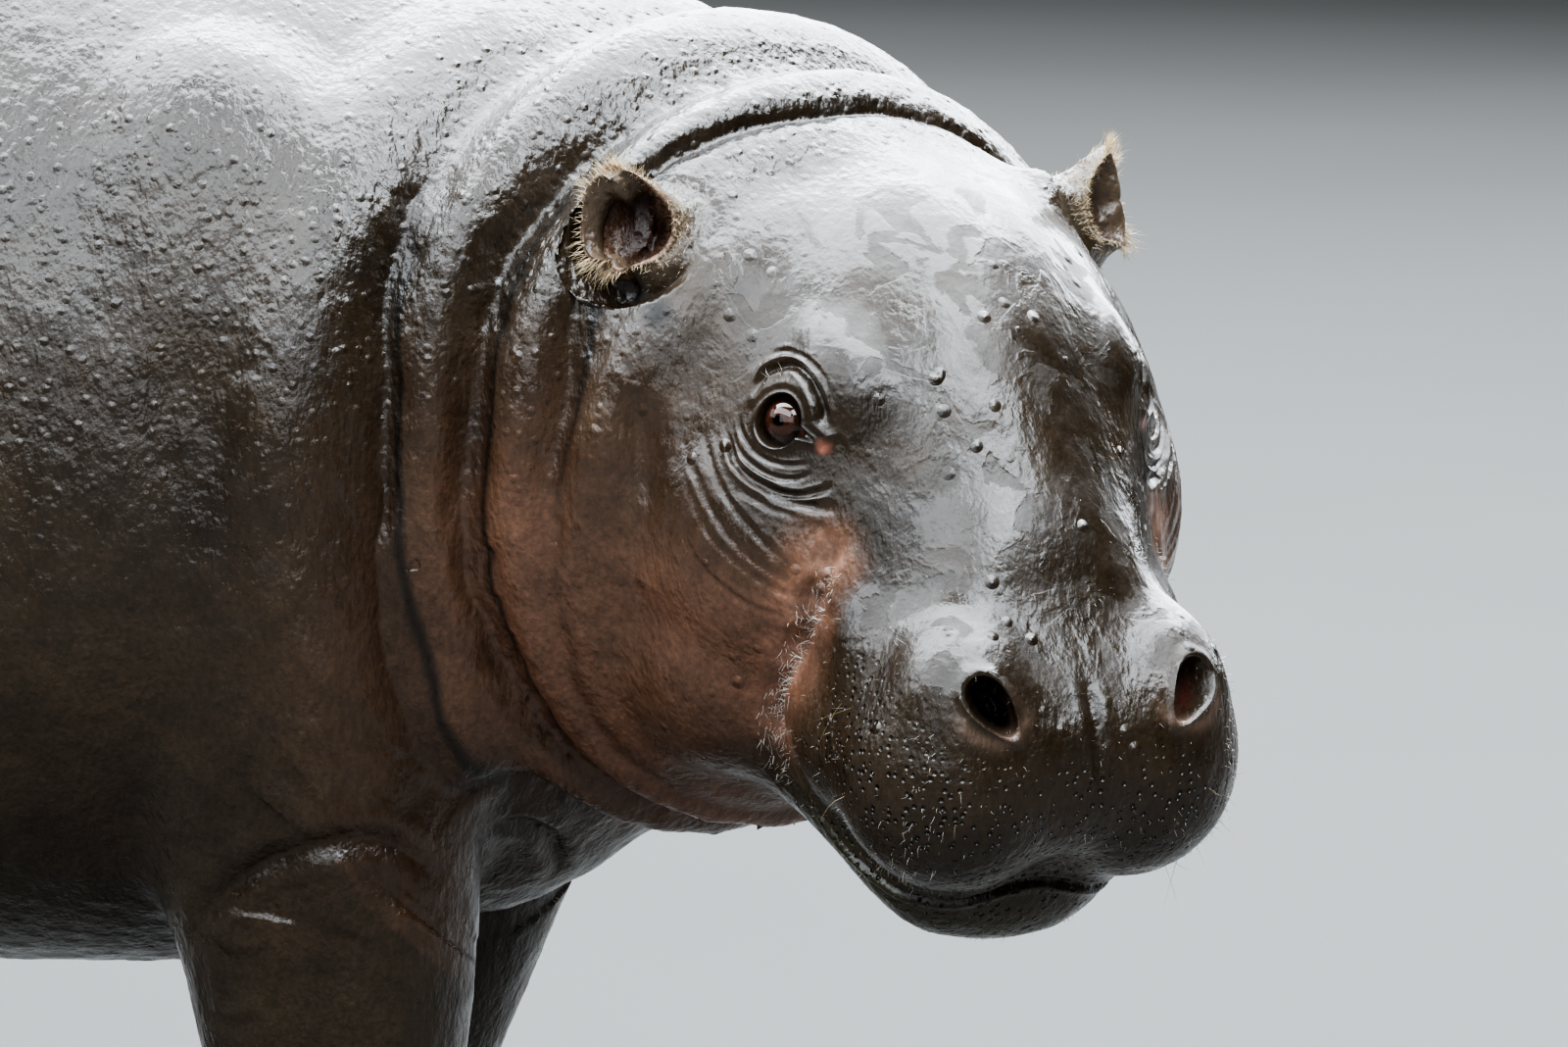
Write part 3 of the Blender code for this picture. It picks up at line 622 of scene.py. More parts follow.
def refine(bm, chosen):
    """Quarters the faces whose middles are chosen, and evens out what that makes."""
    bm.faces.ensure_lookup_table()
    edges = set()
    for k in np.nonzero(chosen(middles_of(bm)))[0].tolist():
        edges.update(bm.faces[k].edges)
    made = bmesh.ops.subdivide_edges(bm, edges=list(edges), cuts=1, use_grid_fill=True)
    verts = [piece for piece in made["geom"] if isinstance(piece, bmesh.types.BMVert)]
    soften(bm, verts, SPLIT_SMOOTHING)


def in_fine_places(middles, level):
    found = np.zeros(len(middles), bool)
    local = into_head(middles)
    for place, *radii in FINE_PLACES:
        for middle in on_both_sides([place]):
            if len(radii) > level:
                found |= np.linalg.norm(local - middle, axis=1) < radii[level]
    return found


def refined(body):
    """Finer faces over the front of the body, finer still on head and folds, finest at the eyes."""
    bm = bmesh.new()
    bm.from_mesh(body.data)
    refine(bm, lambda at: (at[:, 0] > FINE_FROM_X) | (at[:, 2] < FINE_BELOW))
    refine(bm, lambda at: in_head(at) | near_fold(at))
    for level in (0, 1):
        refine(bm, lambda at, level=level: in_fine_places(at, level))
    return bm


# ---------------------------------------------------------------- ears


def ear_frame(side):
    """Root, and the ways to the front, up and out of an ear, in the head's frame."""
    root, opens = (np.array(part) for part in EARS[side])
    opens = unit(opens)
    up = np.array(EAR_UP)
    up = unit(up - up @ opens * opens)
    front = np.cross(up, opens) * (1 if side == "right" else -1)
    return root, front, up, opens


EAR_SHELL = [
    # distance out from the root, radius, how far the middle lies to the front and how far up
    (-0.002, 0.0292, 0.0035, -0.001),
    (0.004, 0.0256, 0.0033, -0.001),
    (0.011, 0.0228, 0.0028, -0.001),
    (0.020, 0.0216, 0.0018, 0.000),
    (0.029, 0.0226, -0.0006, 0.002),
    (0.0355, 0.0234, -0.002, 0.003),
    (0.0378, 0.0227, -0.002, 0.003),
    (0.0362, 0.0208, -0.002, 0.003),
    (0.0300, 0.0184, -0.001, 0.003),
    (0.0230, 0.0152, 0.000, 0.001),
    (0.0185, 0.0100, 0.001, 0.000),
    (0.0170, 0.0045, 0.002, -0.001),
]
EAR_STEPS = 6
EAR_RIM = 6 * EAR_STEPS  # the ring that is the rim
EAR_HOLE_ROOM = 0.002  # how much wider the hole in the skin is than the root ring
EAR_HOLE_DEPTHS = (-0.035, 0.060)  # along the ear, between which the skin is taken away
EAR_ROOT_RINGS = 3  # rings of the shell that are softened with the join
EAR_ROOT_MOST = 0.026  # how far out or in the root ring is moved to meet the skin
EAR_ROOT_SOFTENS = 5  # how often the join's points are drawn toward their neighbours' middle
EAR_SOFT_REACH = (0.016, 0.027)  # from the root: the skin is softened up to there
EAR_SOFT_ROUNDS = 10
EAR_POINTS = ((len(EAR_SHELL) - 1) * EAR_STEPS + 1) * EAR_RINGS
EAR_CODES = {"left": 1, "right": 1 + EAR_POINTS}
EAR_BANDS = {"left": 0.02, "right": 0.52}  # left end of each ear's band of the map
EAR_BAND = (0.40, 0.05, 0.005)  # its width, its height and the room below it
EAR_SEAM = -0.6  # row of the map that the join has
EAR_TIP_TURN, EAR_LOBE_TURN = 2.0, -2.1
EAR_TIP, EAR_NOTCH = 0.20, 0.12  # how far the rim is drawn up and in, as shares of its radius
EAR_FRONT_DROP = (0.34, 0.15, 0.95)  # how much lower the rim is in front, turn and width of that
EAR_WAVES, EAR_WAVE = 5, 0.0007  # round the rim, and how high
EAR_CUP = (0.0170, 0.0195)  # the cup's ridges are full at the first radius, gone at the second
EAR_RIDGES = [
    # in the cup: from the ear's middle to the front and up, length way, width, height
    ((0.000, 0.004), (0.35, 0.94), 0.0110, 0.0026, 0.0050),
    ((0.006, -0.009), (0.90, -0.30), 0.0080, 0.0024, 0.0040),
    ((0.0085, 0.000), (0.20, 0.98), 0.0060, 0.0032, -0.0080),
    ((-0.008, 0.008), (0.30, 0.95), 0.0090, 0.0030, -0.0030),
]


def ear_outline(turn):
    """How far the rim stands from the ear's middle for each turn, as a share of its radius."""
    high = EAR_TIP * bell_round(turn, EAR_TIP_TURN, 0.75)
    return 1 + high - EAR_NOTCH * bell_round(turn, -1.1, 0.45)


def ear_points(side):
    """Rows of rings in the head's frame, from the root over the rim to the bottom of the cup."""
    root, front, up, opens = ear_frame(side)
    turn = 2 * math.pi * np.arange(EAR_RINGS) / EAR_RINGS
    low_front = EAR_FRONT_DROP[0] * bell_round(turn, *EAR_FRONT_DROP[1:])
    rows = []
    for number, (reach, radius, ahead, high) in enumerate(smooth_between(EAR_SHELL, EAR_STEPS)):
        shape = 1 + (ear_outline(turn) - 1) * ramp(reach, 0.004, 0.030)
        a = radius * shape * np.cos(turn)
        b = radius * shape * np.sin(turn)
        out = reach * (1 - low_front * ramp(reach, 0.006, 0.030))
        out = out + EAR_WAVE * np.sin(EAR_WAVES * turn + 1.0) * ramp(reach, 0.02, 0.035)
        if number > EAR_RIM:
            for (at_a, at_b), way, half, width, height in EAR_RIDGES:
                along = (a - at_a) * way[0] + (b - at_b) * way[1]
                beside = (b - at_b) * way[0] - (a - at_a) * way[1]
                height = height * (1 - ramp(radius, *EAR_CUP))
                out = out + height * bell(along, half) * bell(beside, width)
        ring_at = root + np.outer(out, opens) + np.outer(a + ahead, front)
        rows.append(ring_at + np.outer(b + high, up))
    return np.array(rows)


def ear_grid(mesh, side):
    """Index of each point of an ear's shell: a row for each ring, from the root into the cup."""
    codes = read(mesh.attributes["ear"].data, "value", 1, np.int32)
    first = EAR_CODES[side]
    found = np.nonzero((codes >= first) & (codes < first + EAR_POINTS))[0]
    return found[np.argsort(codes[found])].reshape(-1, EAR_RINGS)


def loop_of(edges):
    """The verts of a closed chain of edges, in order."""
    beside = {}
    for edge in edges:
        a, b = edge.verts
        beside.setdefault(a, []).append(b)
        beside.setdefault(b, []).append(a)
    start = next(iter(beside))
    chain, last = [start], None
    while True:
        ahead = [vert for vert in beside[chain[-1]] if vert is not last]
        last = chain[-1]
        if ahead[0] is start and len(chain) > 2:
            return chain
        chain.append(ahead[0])


def open_skin(bm, into_ear):
    """Takes away the skin inside the root ring, and gives the edge of the hole."""
    bm.faces.ensure_lookup_table()
    ahead, up, out = into_ear(middles_of(bm)).T
    low, high = EAR_HOLE_DEPTHS
    within = np.hypot(ahead, up) < EAR_SHELL[0][1] + EAR_HOLE_ROOM
    within &= (out > low) & (out < high)
    doomed = [bm.faces[k] for k in np.nonzero(within)[0].tolist()]
    gone = set(doomed)
    edges = {edge for face in doomed for edge in face.edges}
    chain = loop_of([edge for edge in edges if any(face not in gone for face in edge.link_faces)])
    bmesh.ops.delete(bm, geom=doomed, context="FACES")
    return chain


def turned(chain, turns):
    """The closed chain from its smallest turn on, in the order of rising turns."""
    steps = (np.diff(turns) + np.pi) % (2 * np.pi) - np.pi
    if steps.sum() < 0:
        chain, turns = chain[::-1], turns[::-1]
    first = int(np.argmin(turns))
    ordered = np.append(np.roll(turns, -first), 2 * np.pi + turns[first])
    return chain[first:] + chain[: first + 1], ordered.tolist()


def rooted(rings, centre, opens, turns, heights):
    """The ear's rings, with the first laid on the skin, whose heights are known at some turns."""
    own = 2 * np.pi * np.arange(EAR_RINGS) / EAR_RINGS
    skin = np.interp(own, turns, heights, period=2 * np.pi)
    skin = np.convolve(np.tile(skin, 3), np.ones(5) / 5, "same")[EAR_RINGS : 2 * EAR_RINGS]
    rises = np.clip(skin - (rings[0] - centre) @ opens, -EAR_ROOT_MOST, EAR_ROOT_MOST)
    out = (rings.mean(axis=1) - centre) @ opens
    shares = np.clip(1 - (out - out[0]) / (out[EAR_RIM] - out[0]), 0, 1)
    shares[EAR_RIM:] = 0
    return rings + (shares[:, None] * rises)[:, :, None] * opens


def graft_ear(bm, side):
    """Opens the skin at the ear's root and sews the ear's shell to the hole."""
    root, front, up, opens = ear_frame(side)
    _, _, ahead, high = EAR_SHELL[0]
    centre = root + front * ahead + up * high

    def into_ear(points):
        return (into_head(points) - centre) @ np.column_stack([front, up, opens])

    chain = open_skin(bm, into_ear)
    x, y, heights = into_ear([vert.co[:] for vert in chain]).T
    turns = np.arctan2(y, x) % (2 * np.pi)
    rings = rooted(ear_points(side), centre, opens, turns, heights)
    rows = [[bm.verts.new(point) for point in from_head(row)] for row in rings]
    code = bm.verts.layers.int["ear"]
    for number, vert in enumerate(vert for row in rows for vert in row):
        vert[code] = EAR_CODES[side] + number
    layer = bm.loops.layers.uv["OFBake"]
    last = len(rows) - 1
    width, height, room = EAR_BAND

    def add_face(verts, corners):
        for loop, (i, k) in zip(bm.faces.new(verts).loops, corners):
            across = EAR_BANDS[side] + width * (i + 1) / (last + 2)
            loop[layer].uv = across, SHARE_OF_MAP + room + height * k / EAR_RINGS

    middle = bm.verts.new(sum((vert.co for vert in rows[-1]), Vector()) / EAR_RINGS)
    for k in range(EAR_RINGS):
        after = (k + 1) % EAR_RINGS
        for i in range(last):
            verts = (rows[i][k], rows[i][after], rows[i + 1][after], rows[i + 1][k])
            add_face(verts, ((i, k), (i, k + 1), (i + 1, k + 1), (i + 1, k)))
        add_face((rows[-1][k], rows[-1][after], middle), ((last, k), (last, k + 1), (last + 1, k)))
    chain, turns = turned(chain, turns)
    own = rows[0] + [rows[0][0]]
    i = j = 0
    while i < len(chain) - 1 or j < EAR_RINGS:
        own_next = 2 * math.pi * (j + 1) / EAR_RINGS
        if j == EAR_RINGS or (i < len(chain) - 1 and turns[i + 1] <= own_next):
            verts = (chain[i], chain[i + 1], own[j])
            i += 1
        else:
            verts = (chain[i], own[j + 1], own[j])
            j += 1
        add_face(verts, [(EAR_SEAM, j)] * 3)
    soft = set(chain) | {vert for row in rows[:EAR_ROOT_RINGS] for vert in row}
    soften(bm, sorted(soft, key=lambda vert: vert.co[:]), EAR_ROOT_SOFTENS)


# ---------------------------------------------------------------- sculpting


def lid_gap(x, y):
    """How far a place lies outside the gap of the lids: an oval with a narrow front corner."""
    share = np.hypot(x / LID_SIDE, y / np.where(y > 0, LID_UPPER, LID_LOWER))
    oval = (share - 1) * np.hypot(x, y) / np.maximum(share, 0.3)
    corner = np.maximum(abs(y) - LID_CORNER_HALF * (1 - x / LID_CORNER), x - LID_CORNER)
    return np.minimum(oval, np.maximum(corner, -x))


def eye_sculpt(at, side):
    """Opens the lids over the eyeball and gives them thick, rounded edges."""
    centre = mirrored(EYE_AT, side)
    out, front, up = (unit(mirrored(way, side)) for way in EYE_WAYS)
    offset = at - centre
    near = (np.linalg.norm(offset, axis=1) < 0.045) & (offset @ out > 0)
    off = offset[near]
    x, y = off @ front, off @ up
    gap = lid_gap(x, y)
    upper = ramp(y, -0.003, 0.004)
    push = LID_PUSH[0] + (LID_PUSH[1] - LID_PUSH[0]) * ramp(x, 0.010, 0.014)
    height = -push * (1 - ramp(gap, *LID_STEP))
    for share, (rise, away, width) in zip((1, upper, 1 - upper), LID_RIDGES):
        height = height + rise * share * bell(gap - away, width)
    at[near] = centre + off + np.outer(height, out)
    return near, gap


def pit_sculpt(at, centre, way, along, half, width, depth, rim):
    """An oval pit which goes in against way, with a raised rim."""
    across = np.cross(way, along)
    offset = at - centre
    near = np.linalg.norm(offset, axis=1) < 2.2 * half + depth * 0.3
    off = offset[near]
    x, y = off @ along, off @ across
    size = np.sqrt((x / half) ** 2 + (y / (width * (1 - 0.30 * x / half))) ** 2)
    facing = ramp(off @ way, -0.020, -0.010)
    down = depth * (1 - ramp(size, 0.30, 1.04)) * facing
    up = rim * bell(size - 1.22, 0.20) * facing
    at[near] = at[near] + np.outer(up - down, way)


def tree_of(at, mesh):
    return BVHTree.FromPolygons(
        [Vector(point) for point in at], [tuple(face.vertices) for face in mesh.polygons]
    )


def line_on(tree, corners):
    """A smooth line through the corners, laid on the surface of the tree, in the tree's frame."""
    rows = smooth_between(corners, LINE_STEPS)
    return np.array([tree.find_nearest(Vector(row))[0] for row in rows])


def from_line(at, line, reach):
    """Which points lie within reach of the line, how far, how far along it and on which side."""
    low, high = line.min(0) - reach, line.max(0) + reach
    near = np.nonzero(((at > low) & (at < high)).all(1))[0]
    best = np.full(len(near), np.inf)
    along = np.zeros(len(near))
    offset = np.zeros((len(near), 3))
    way = np.zeros((len(near), 3))
    count = len(line) - 1
    for k in range(count):
        stretch = line[k + 1] - line[k]
        t = np.clip((at[near] - line[k]) @ stretch / (stretch @ stretch), 0, 1)
        away = at[near] - line[k] - t[:, None] * stretch
        distance = np.linalg.norm(away, axis=1)
        closer = distance < best
        best[closer] = distance[closer]
        along[closer] = (k + t[closer]) / count
        offset[closer] = away[closer]
        way[closer] = stretch
    kept = best < reach
    return near[kept], best[kept], along[kept], offset[kept], way[kept]


def crease(at, normals, line, width, depth, lap, ends):
    """A groove along the line. With lap, the skin on its left hangs over it a little."""
    near, distance, along, offset, way = from_line(at, line, 5 * width)
    side = np.sign((np.cross(normals[near], way) * offset).sum(1))
    fade = ramp(along, 0, ends) * ramp(1 - along, 0, ends)
    inwards = depth * np.exp(-((distance / width) ** 1.4))
    outwards = 0.30 * depth * bell(distance - 2.1 * width, 1.1 * width)
    outwards = outwards + lap * (side > 0) * bell(distance - 1.2 * width, 1.6 * width)
    at[near] += normals[near] * (fade * (outwards - inwards))[:, None]


LINE_STEPS = 8  # points of a crease's line from one corner to the next
EYE_WAYS = ((0.342, 0.843, 0.415), (0.878, -0.444, 0.178), (-0.334, -0.303, 0.892))
LID_UPPER, LID_LOWER, LID_SIDE = 0.0120, 0.0114, 0.0109  # half the gap of the lids
LID_CORNER = 0.0190  # how far ahead of the pupil the front corner lies
LID_CORNER_HALF = 0.0046  # half the height of the corner at the pupil
LID_PUSH = (0.0070, 0.0034)  # how deep the skin goes under the lids, and at the corner
LID_STEP = (-0.0011, 0.0005)  # from the gap's edge: where the skin is deep, and where it is up
LID_RIDGES = [
    # rise, how far from the gap, width: edge of both lids, upper lid, bag of the lower lid
    (0.0010, 0.0016, 0.0011),
    (0.0022, 0.0062, 0.0034),
    (0.0008, 0.0026, 0.0018),
]

# A crease is the corners of its line, width, depth, lap and the share of it that fades at an end.
# Those of the head are on its left side, in its own frame, and have mirror images.
EYE_CREASES = [
    ([(-0.018, 0.104, -0.002), (-0.024, 0.099, 0.007), (-0.024, 0.095, 0.012),
      (-0.018, 0.090, 0.019), (-0.008, 0.088, 0.022), (0.002, 0.086, 0.020),
      (0.010, 0.085, 0.016), (0.016, 0.084, 0.010)], 0.0017, 0.0034, 0.0, 0.14),
    ([(-0.031, 0.095, 0.014), (-0.025, 0.089, 0.021), (-0.009, 0.085, 0.027),
      (0.006, 0.082, 0.026)], 0.0012, 0.0010, 0.0, 0.3),
    ([(-0.018, 0.109, -0.009), (-0.011, 0.110, -0.013), (-0.004, 0.109, -0.015),
      (0.004, 0.106, -0.016), (0.012, 0.101, -0.014), (0.018, 0.095, -0.010),
      (0.022, 0.089, -0.005)], 0.0010, 0.0009, 0.0, 0.2),
    ([(-0.017, 0.111, -0.013), (-0.009, 0.112, -0.018), (0.000, 0.111, -0.020),
      (0.009, 0.107, -0.020), (0.017, 0.102, -0.018), (0.023, 0.095, -0.014),
      (0.026, 0.088, -0.007)], 0.0010, 0.0009, 0.0, 0.2),
    ([(-0.016, 0.113, -0.017), (-0.009, 0.114, -0.020), (0.000, 0.114, -0.024),
      (0.010, 0.111, -0.024), (0.018, 0.106, -0.023), (0.024, 0.101, -0.022),
      (0.030, 0.094, -0.018), (0.034, 0.087, -0.012), (0.034, 0.083, -0.006)],
     0.0015, 0.0026, 0.0005, 0.2),
    ([(0.010, 0.115, -0.030), (0.016, 0.113, -0.029), (0.026, 0.106, -0.028),
      (0.035, 0.097, -0.026), (0.042, 0.090, -0.023)], 0.0013, 0.0008, 0.0, 0.3),
]
NOSTRIL_AT = (0.166, 0.051, -0.026)
NOSTRIL_WAYS = ((0.65, 0.42, 0.63), (0.746, -0.506, -0.433))
NOSTRIL_SIZE = (0.0158, 0.0082, 0.040, 0.0020)  # half its length and width, depth and rim
LIP_CREASE = (0.0018, 0.0032, 0.0, 0.12)
LIP_LINE = [
    (0.071, 0.084, -0.143),
    (0.095, 0.082, -0.154),
    (0.121, 0.074, -0.160),
    (0.147, 0.063, -0.155),
    (0.165, 0.053, -0.150),
    (0.174, 0.042, -0.146),
    (0.180, 0.027, -0.138),
    (0.180, 0.000, -0.131),
]
HEAD_CREASES = [
    ([(0.052, 0.084, -0.020), (0.062, 0.089, -0.047), (0.067, 0.091, -0.075),
      (0.065, 0.092, -0.106), (0.071, 0.085, -0.142)], 0.0040, 0.0050, -0.0015, 0.15),
    ([(-0.064, 0.145, -0.018), (-0.044, 0.143, -0.037), (-0.027, 0.140, -0.059),
      (-0.010, 0.136, -0.078)], 0.0075, 0.0035, 0.0, 0.35),
    ([(-0.030, 0.127, -0.032), (-0.002, 0.123, -0.042), (0.030, 0.113, -0.051),
      (0.055, 0.095, -0.053)], 0.0015, 0.0009, 0.0, 0.25),
    ([(-0.016, 0.127, -0.043), (0.016, 0.122, -0.054), (0.043, 0.106, -0.058),
      (0.060, 0.093, -0.057)], 0.0015, 0.0009, 0.0, 0.25),
    ([(-0.027, 0.121, -0.023), (0.000, 0.118, -0.035), (0.027, 0.110, -0.041),
      (0.054, 0.094, -0.048)], 0.0015, 0.0009, 0.0, 0.25),
    ([(-0.007, 0.131, -0.059), (0.020, 0.124, -0.069), (0.045, 0.108, -0.071),
      (0.061, 0.095, -0.067)], 0.0015, 0.0008, 0.0, 0.25),
    ([(0.016, 0.107, -0.027), (0.030, 0.097, -0.022), (0.046, 0.082, -0.014)],
     0.0022, 0.0022, 0.0, 0.3),
]
BODY_CREASES = [
    # on the right side, in the part's own frame: shoulder, elbow and chest
    ([(0.205, -0.170, 0.300), (0.232, -0.190, 0.328), (0.262, -0.197, 0.350),
      (0.299, -0.194, 0.361), (0.327, -0.176, 0.355), (0.344, -0.136, 0.326)],
     0.0050, 0.0036, 0.0, 0.25),
    ([(0.215, -0.173, 0.312), (0.240, -0.186, 0.300), (0.264, -0.190, 0.308)],
     0.0030, 0.0013, 0.0, 0.25),
    ([(0.206, -0.168, 0.272), (0.230, -0.180, 0.266), (0.256, -0.188, 0.272)],
     0.0030, 0.0012, 0.0, 0.25),
    ([(0.226, -0.176, 0.322), (0.232, -0.180, 0.298), (0.230, -0.178, 0.262)],
     0.0030, 0.0013, 0.0, 0.25),
    ([(0.350, -0.110, 0.345), (0.352, -0.068, 0.340), (0.343, -0.027, 0.317)],
     0.0040, 0.0040, 0.0, 0.25),
]
MIDLINE_CREASES = [
    ([(0.150, 0.0, -0.022), (0.180, 0.0, -0.035), (0.196, 0.0, -0.070)], 0.0030, 0.0022, 0.0, 0.3),
]
FOLDS = [
    # ring round the neck: width and depth of its sharp line, depth and width of the valley,
    # below which height the line is sharp, and how much of it is left beneath the head
    (0.0060, 0.0000, 0.0035, 0.030, 0.66, 1.0),
    (0.0036, 0.0075, 0.0055, 0.024, 0.66, 1.0),
    (0.0036, 0.0095, 0.0065, 0.022, 0.70, 1.0),
    (0.0038, 0.0080, 0.0036, 0.018, 0.73, 0.3),
]
FOLD_SHADE = 0.014  # how far the painted shade in a fold reaches back
NAPE_FADE = 0.45  # how much shallower the folds are on top of the neck
FOLD_SKEW = 0.6  # the valley is steeper ahead of the line than behind it


def fold_line(at, number):
    """from_fold for the line of a fold, which wanders a little."""
    distance, reach = from_fold(at, number)
    return distance + 0.0035 * noise(at, 0.07, 3) + 0.0012 * noise(at, 0.02, 4), reach


def fold_shares(z, height, under):
    """How sharp a fold's line is at each height, and how much of the fold is there."""
    return 1 - ramp(z, height - 0.05, height + 0.05), under + (1 - under) * ramp(z, 0.50, 0.60)


def fold_sculpt(at, normals):
    """Rings of folded skin round the neck: a sharp line in a valley between full rolls."""
    for number, (width, depth, low, wide, height, under) in enumerate(FOLDS):
        distance, reach = fold_line(at, number)
        near = (abs(distance) < 3.2 * wide) & (reach < NECK_REACH - 0.01)
        d = distance[near]
        z = at[near][:, 2]
        sharp, share = fold_shares(z, height, under)
        amount = (0.75 + 0.35 * noise(at[near], 0.11, 5)) * share
        low_here = low * (1 - NAPE_FADE * ramp(z, 0.70, 0.80))
        side_wide = np.where(d > 0, FOLD_SKEW * wide, wide)
        inwards = low_here * np.exp(-((abs(d) / side_wide) ** 1.5)) * (0.6 + 0.4 * amount)
        inwards = inwards + depth * sharp * amount * np.exp(-((abs(d) / width) ** 1.3))
        outwards = 0.45 * low_here * bell(abs(d) - 1.9 * side_wide, 0.8 * side_wide) * amount
        at[near] += normals[near] * (outwards - inwards)[:, None]


def relief(at, normals, local, calm):
    """Wrinkles and pebbles that are large enough to show in the outline."""
    head = 1 - ramp(np.linalg.norm(local - HEAD_ROOM[0], axis=1), 0.17, 0.23)
    upright = noise(at, (0.010, 0.014, 0.034), 11) + 0.6 * noise(at, (0.006, 0.008, 0.020), 12)
    broad = noise(at, 0.055, 13)
    pebble = noise(at, 0.0075, 14) * 0.6 + noise(at, 0.0042, 15) * 0.4
    rough = 0.0006 * upright * (0.5 + 0.5 * broad) + 0.0012 * broad + 0.0006 * pebble
    smoother = 0.00022 * pebble + 0.0003 * noise(local, 0.02, 16)
    at += normals * (((1 - head) * rough + head * smoother) * calm)[:, None]


def crease_all(at, normals, tree, creases):
    """Each crease and its mirror image."""
    for corners, *shape in creases:
        for side in (1, -1):
            line = line_on(tree, [mirrored(corner, side) for corner in corners])
            crease(at, normals, line if side > 0 else line[::-1], *shape)


def sculpted(body):
    """Gives the skin its folds, lids, nostrils and wrinkles."""
    mesh = body.data
    at = points_of(mesh)
    head_tree = tree_of(into_head(at), mesh)
    normals = normals_of(mesh)
    fold_sculpt(at, normals)
    crease_all(at, normals, tree_of(at, mesh), BODY_CREASES)
    local = into_head(at)
    head_normals = normals @ HEAD_SPIN
    crease_all(local, head_normals, head_tree, HEAD_CREASES + EYE_CREASES)
    lips = LIP_LINE + [mirrored(corner, -1) for corner in LIP_LINE[-2::-1]]
    for corners, *shape in MIDLINE_CREASES + [(lips, *LIP_CREASE)]:
        crease(local, head_normals, line_on(head_tree, corners), *shape)
    calm = np.ones(len(at))
    for side in (1, -1):
        near, gap = eye_sculpt(local, side)
        calm[near] = ramp(gap, 0.003, 0.012)
        out, along = (unit(mirrored(way, side)) for way in NOSTRIL_WAYS)
        pit_sculpt(local, mirrored(NOSTRIL_AT, side), out, along, *NOSTRIL_SIZE)
    set_points(mesh, from_head(local))
    at = points_of(mesh)
    relief(at, normals_of(mesh), local, calm)
    roots = np.zeros(len(at))
    for side in EARS:
        away = np.linalg.norm(local - ear_frame(side)[0], axis=1)
        roots = np.maximum(roots, 1 - ramp(away, *EAR_SOFT_REACH))
    edges = read(mesh.edges, "vertices", 2, np.int32)
    at = smooth(at, edges, 0.5 * roots, EAR_SOFT_ROUNDS)
    at -= normals_of(mesh) * INSET
    at[:, 2] = np.maximum(at[:, 2], 0.0)
    set_points(mesh, at)


# ---------------------------------------------------------------- colours


DARK = np.array((0.0185, 0.0130, 0.0082))
BROWN = np.array((0.046, 0.0290, 0.0150))
PINK = np.array((0.330, 0.160, 0.100))
PALE = np.array((0.500, 0.320, 0.240))
OLIVE = np.array((0.030, 0.029, 0.008))
INNER_EAR = np.array((0.200, 0.112, 0.070))
EAR_WALL = np.array((0.120, 0.085, 0.058))
DARK_RED = np.array((0.085, 0.022, 0.018))


# Places on the left side of the head, which have mirror images
DRY_PLACES = [
    # from the ear to the eye, and from the eye to the bridge
    (-0.088, 0.114, 0.016), (-0.070, 0.114, 0.014), (-0.055, 0.112, 0.007),
    (-0.040, 0.110, 0.000), (0.022, 0.077, 0.013), (0.032, 0.068, 0.014), (0.042, 0.058, 0.015),
]
PINK_CORNER = [
    # behind the muzzle, from the bridge to the corner of the mouth
    (0.056, 0.088, -0.035), (0.064, 0.092, -0.060), (0.066, 0.092, -0.090), (0.068, 0.089, -0.125),
]
PINK_CHEEK = [(0.035, 0.105, -0.105)]
# the hollow under the ear, which gets painted shade
EAR_POCKET_SHADE = [(-0.075, 0.131, 0.003)]
CANTHUS = [(0.019, 0.0835, 0.002)]
ROLL_PINKS = ((0.030, 0.05), (0.032, 0.35), (0.040, 0.80), (0.050, 0.45))  # width and share


def near_places(at, places, reach):
    """1 at the nearest of the places and 0 at reach from them."""
    away = np.full(len(at), np.inf)
    for place in places:
        away = np.minimum(away, np.linalg.norm(at - np.asarray(place), axis=1))
    return 1 - ramp(away, 0.15 * reach, reach)


class Coat:
    """Colour of each point of the skin, and how far it has dried."""

    def __init__(self, at, normals):
        self.cloud = noise(at, 0.09, 21) + 0.5 * noise(at, 0.035, 22)
        self.fine = noise(at, 0.012, 23) + 0.6 * noise(at, 0.005, 24)
        low = 1 - ramp(normals[:, 2], -0.55, 0.55)
        brown = np.clip(0.35 + 0.55 * low + 0.20 * self.cloud, 0, 1)
        self.colour = DARK + (BROWN - DARK) * brown[:, None]
        self.dull = 0.72 * (1 - ramp(at[:, 2], 0.40, 0.54))

    def blend(self, amount, colour):
        amount = np.clip(amount, 0, 1)[:, None]
        self.colour = self.colour + (colour - self.colour) * amount

    def dry(self, amount):
        self.dull = np.maximum(self.dull, amount)


def paint_neck(coat, at, normals):
    """Pink skin in the rolls, low down, and painted shade: dark lines in the folds, fading out behind
    them.
    """
    rolls, lines = np.zeros((2, len(at)))
    for (middle, way), (span, share) in zip(fold_planes(), ROLL_PINKS):
        offset = at - middle
        near = np.linalg.norm(offset, axis=1) < NECK_REACH
        rolls = np.maximum(rolls, share * bell(offset @ way - 0.014, span) * near)
    for number, (width, _, _, _, height, under) in enumerate(FOLDS[1:], 1):
        distance, reach = fold_line(at, number)
        sharp, share = fold_shares(at[:, 2], height, under)
        # painted shade: behind each line the skin darkens, as if shaded by the roll ahead
        behind = np.where(distance < 0, 0.55 * np.exp(distance / FOLD_SHADE), 0)
        line = np.maximum(bell(distance, 0.8 * width), behind)
        lines = np.maximum(lines, (reach < NECK_REACH - 0.01) * sharp * share * line)
    lower_side = 1 - ramp(at[:, 2], 0.46, 0.64)
    throat = 1 - ramp(normals[:, 2], -0.7, 0.35)
    coat.blend(rolls * lower_side * (0.40 + 0.45 * throat) * (0.85 + 0.3 * coat.cloud), PINK)
    # the painted shade of the folds goes into the colour
    coat.blend(0.88 * lines, DARK * 0.22)


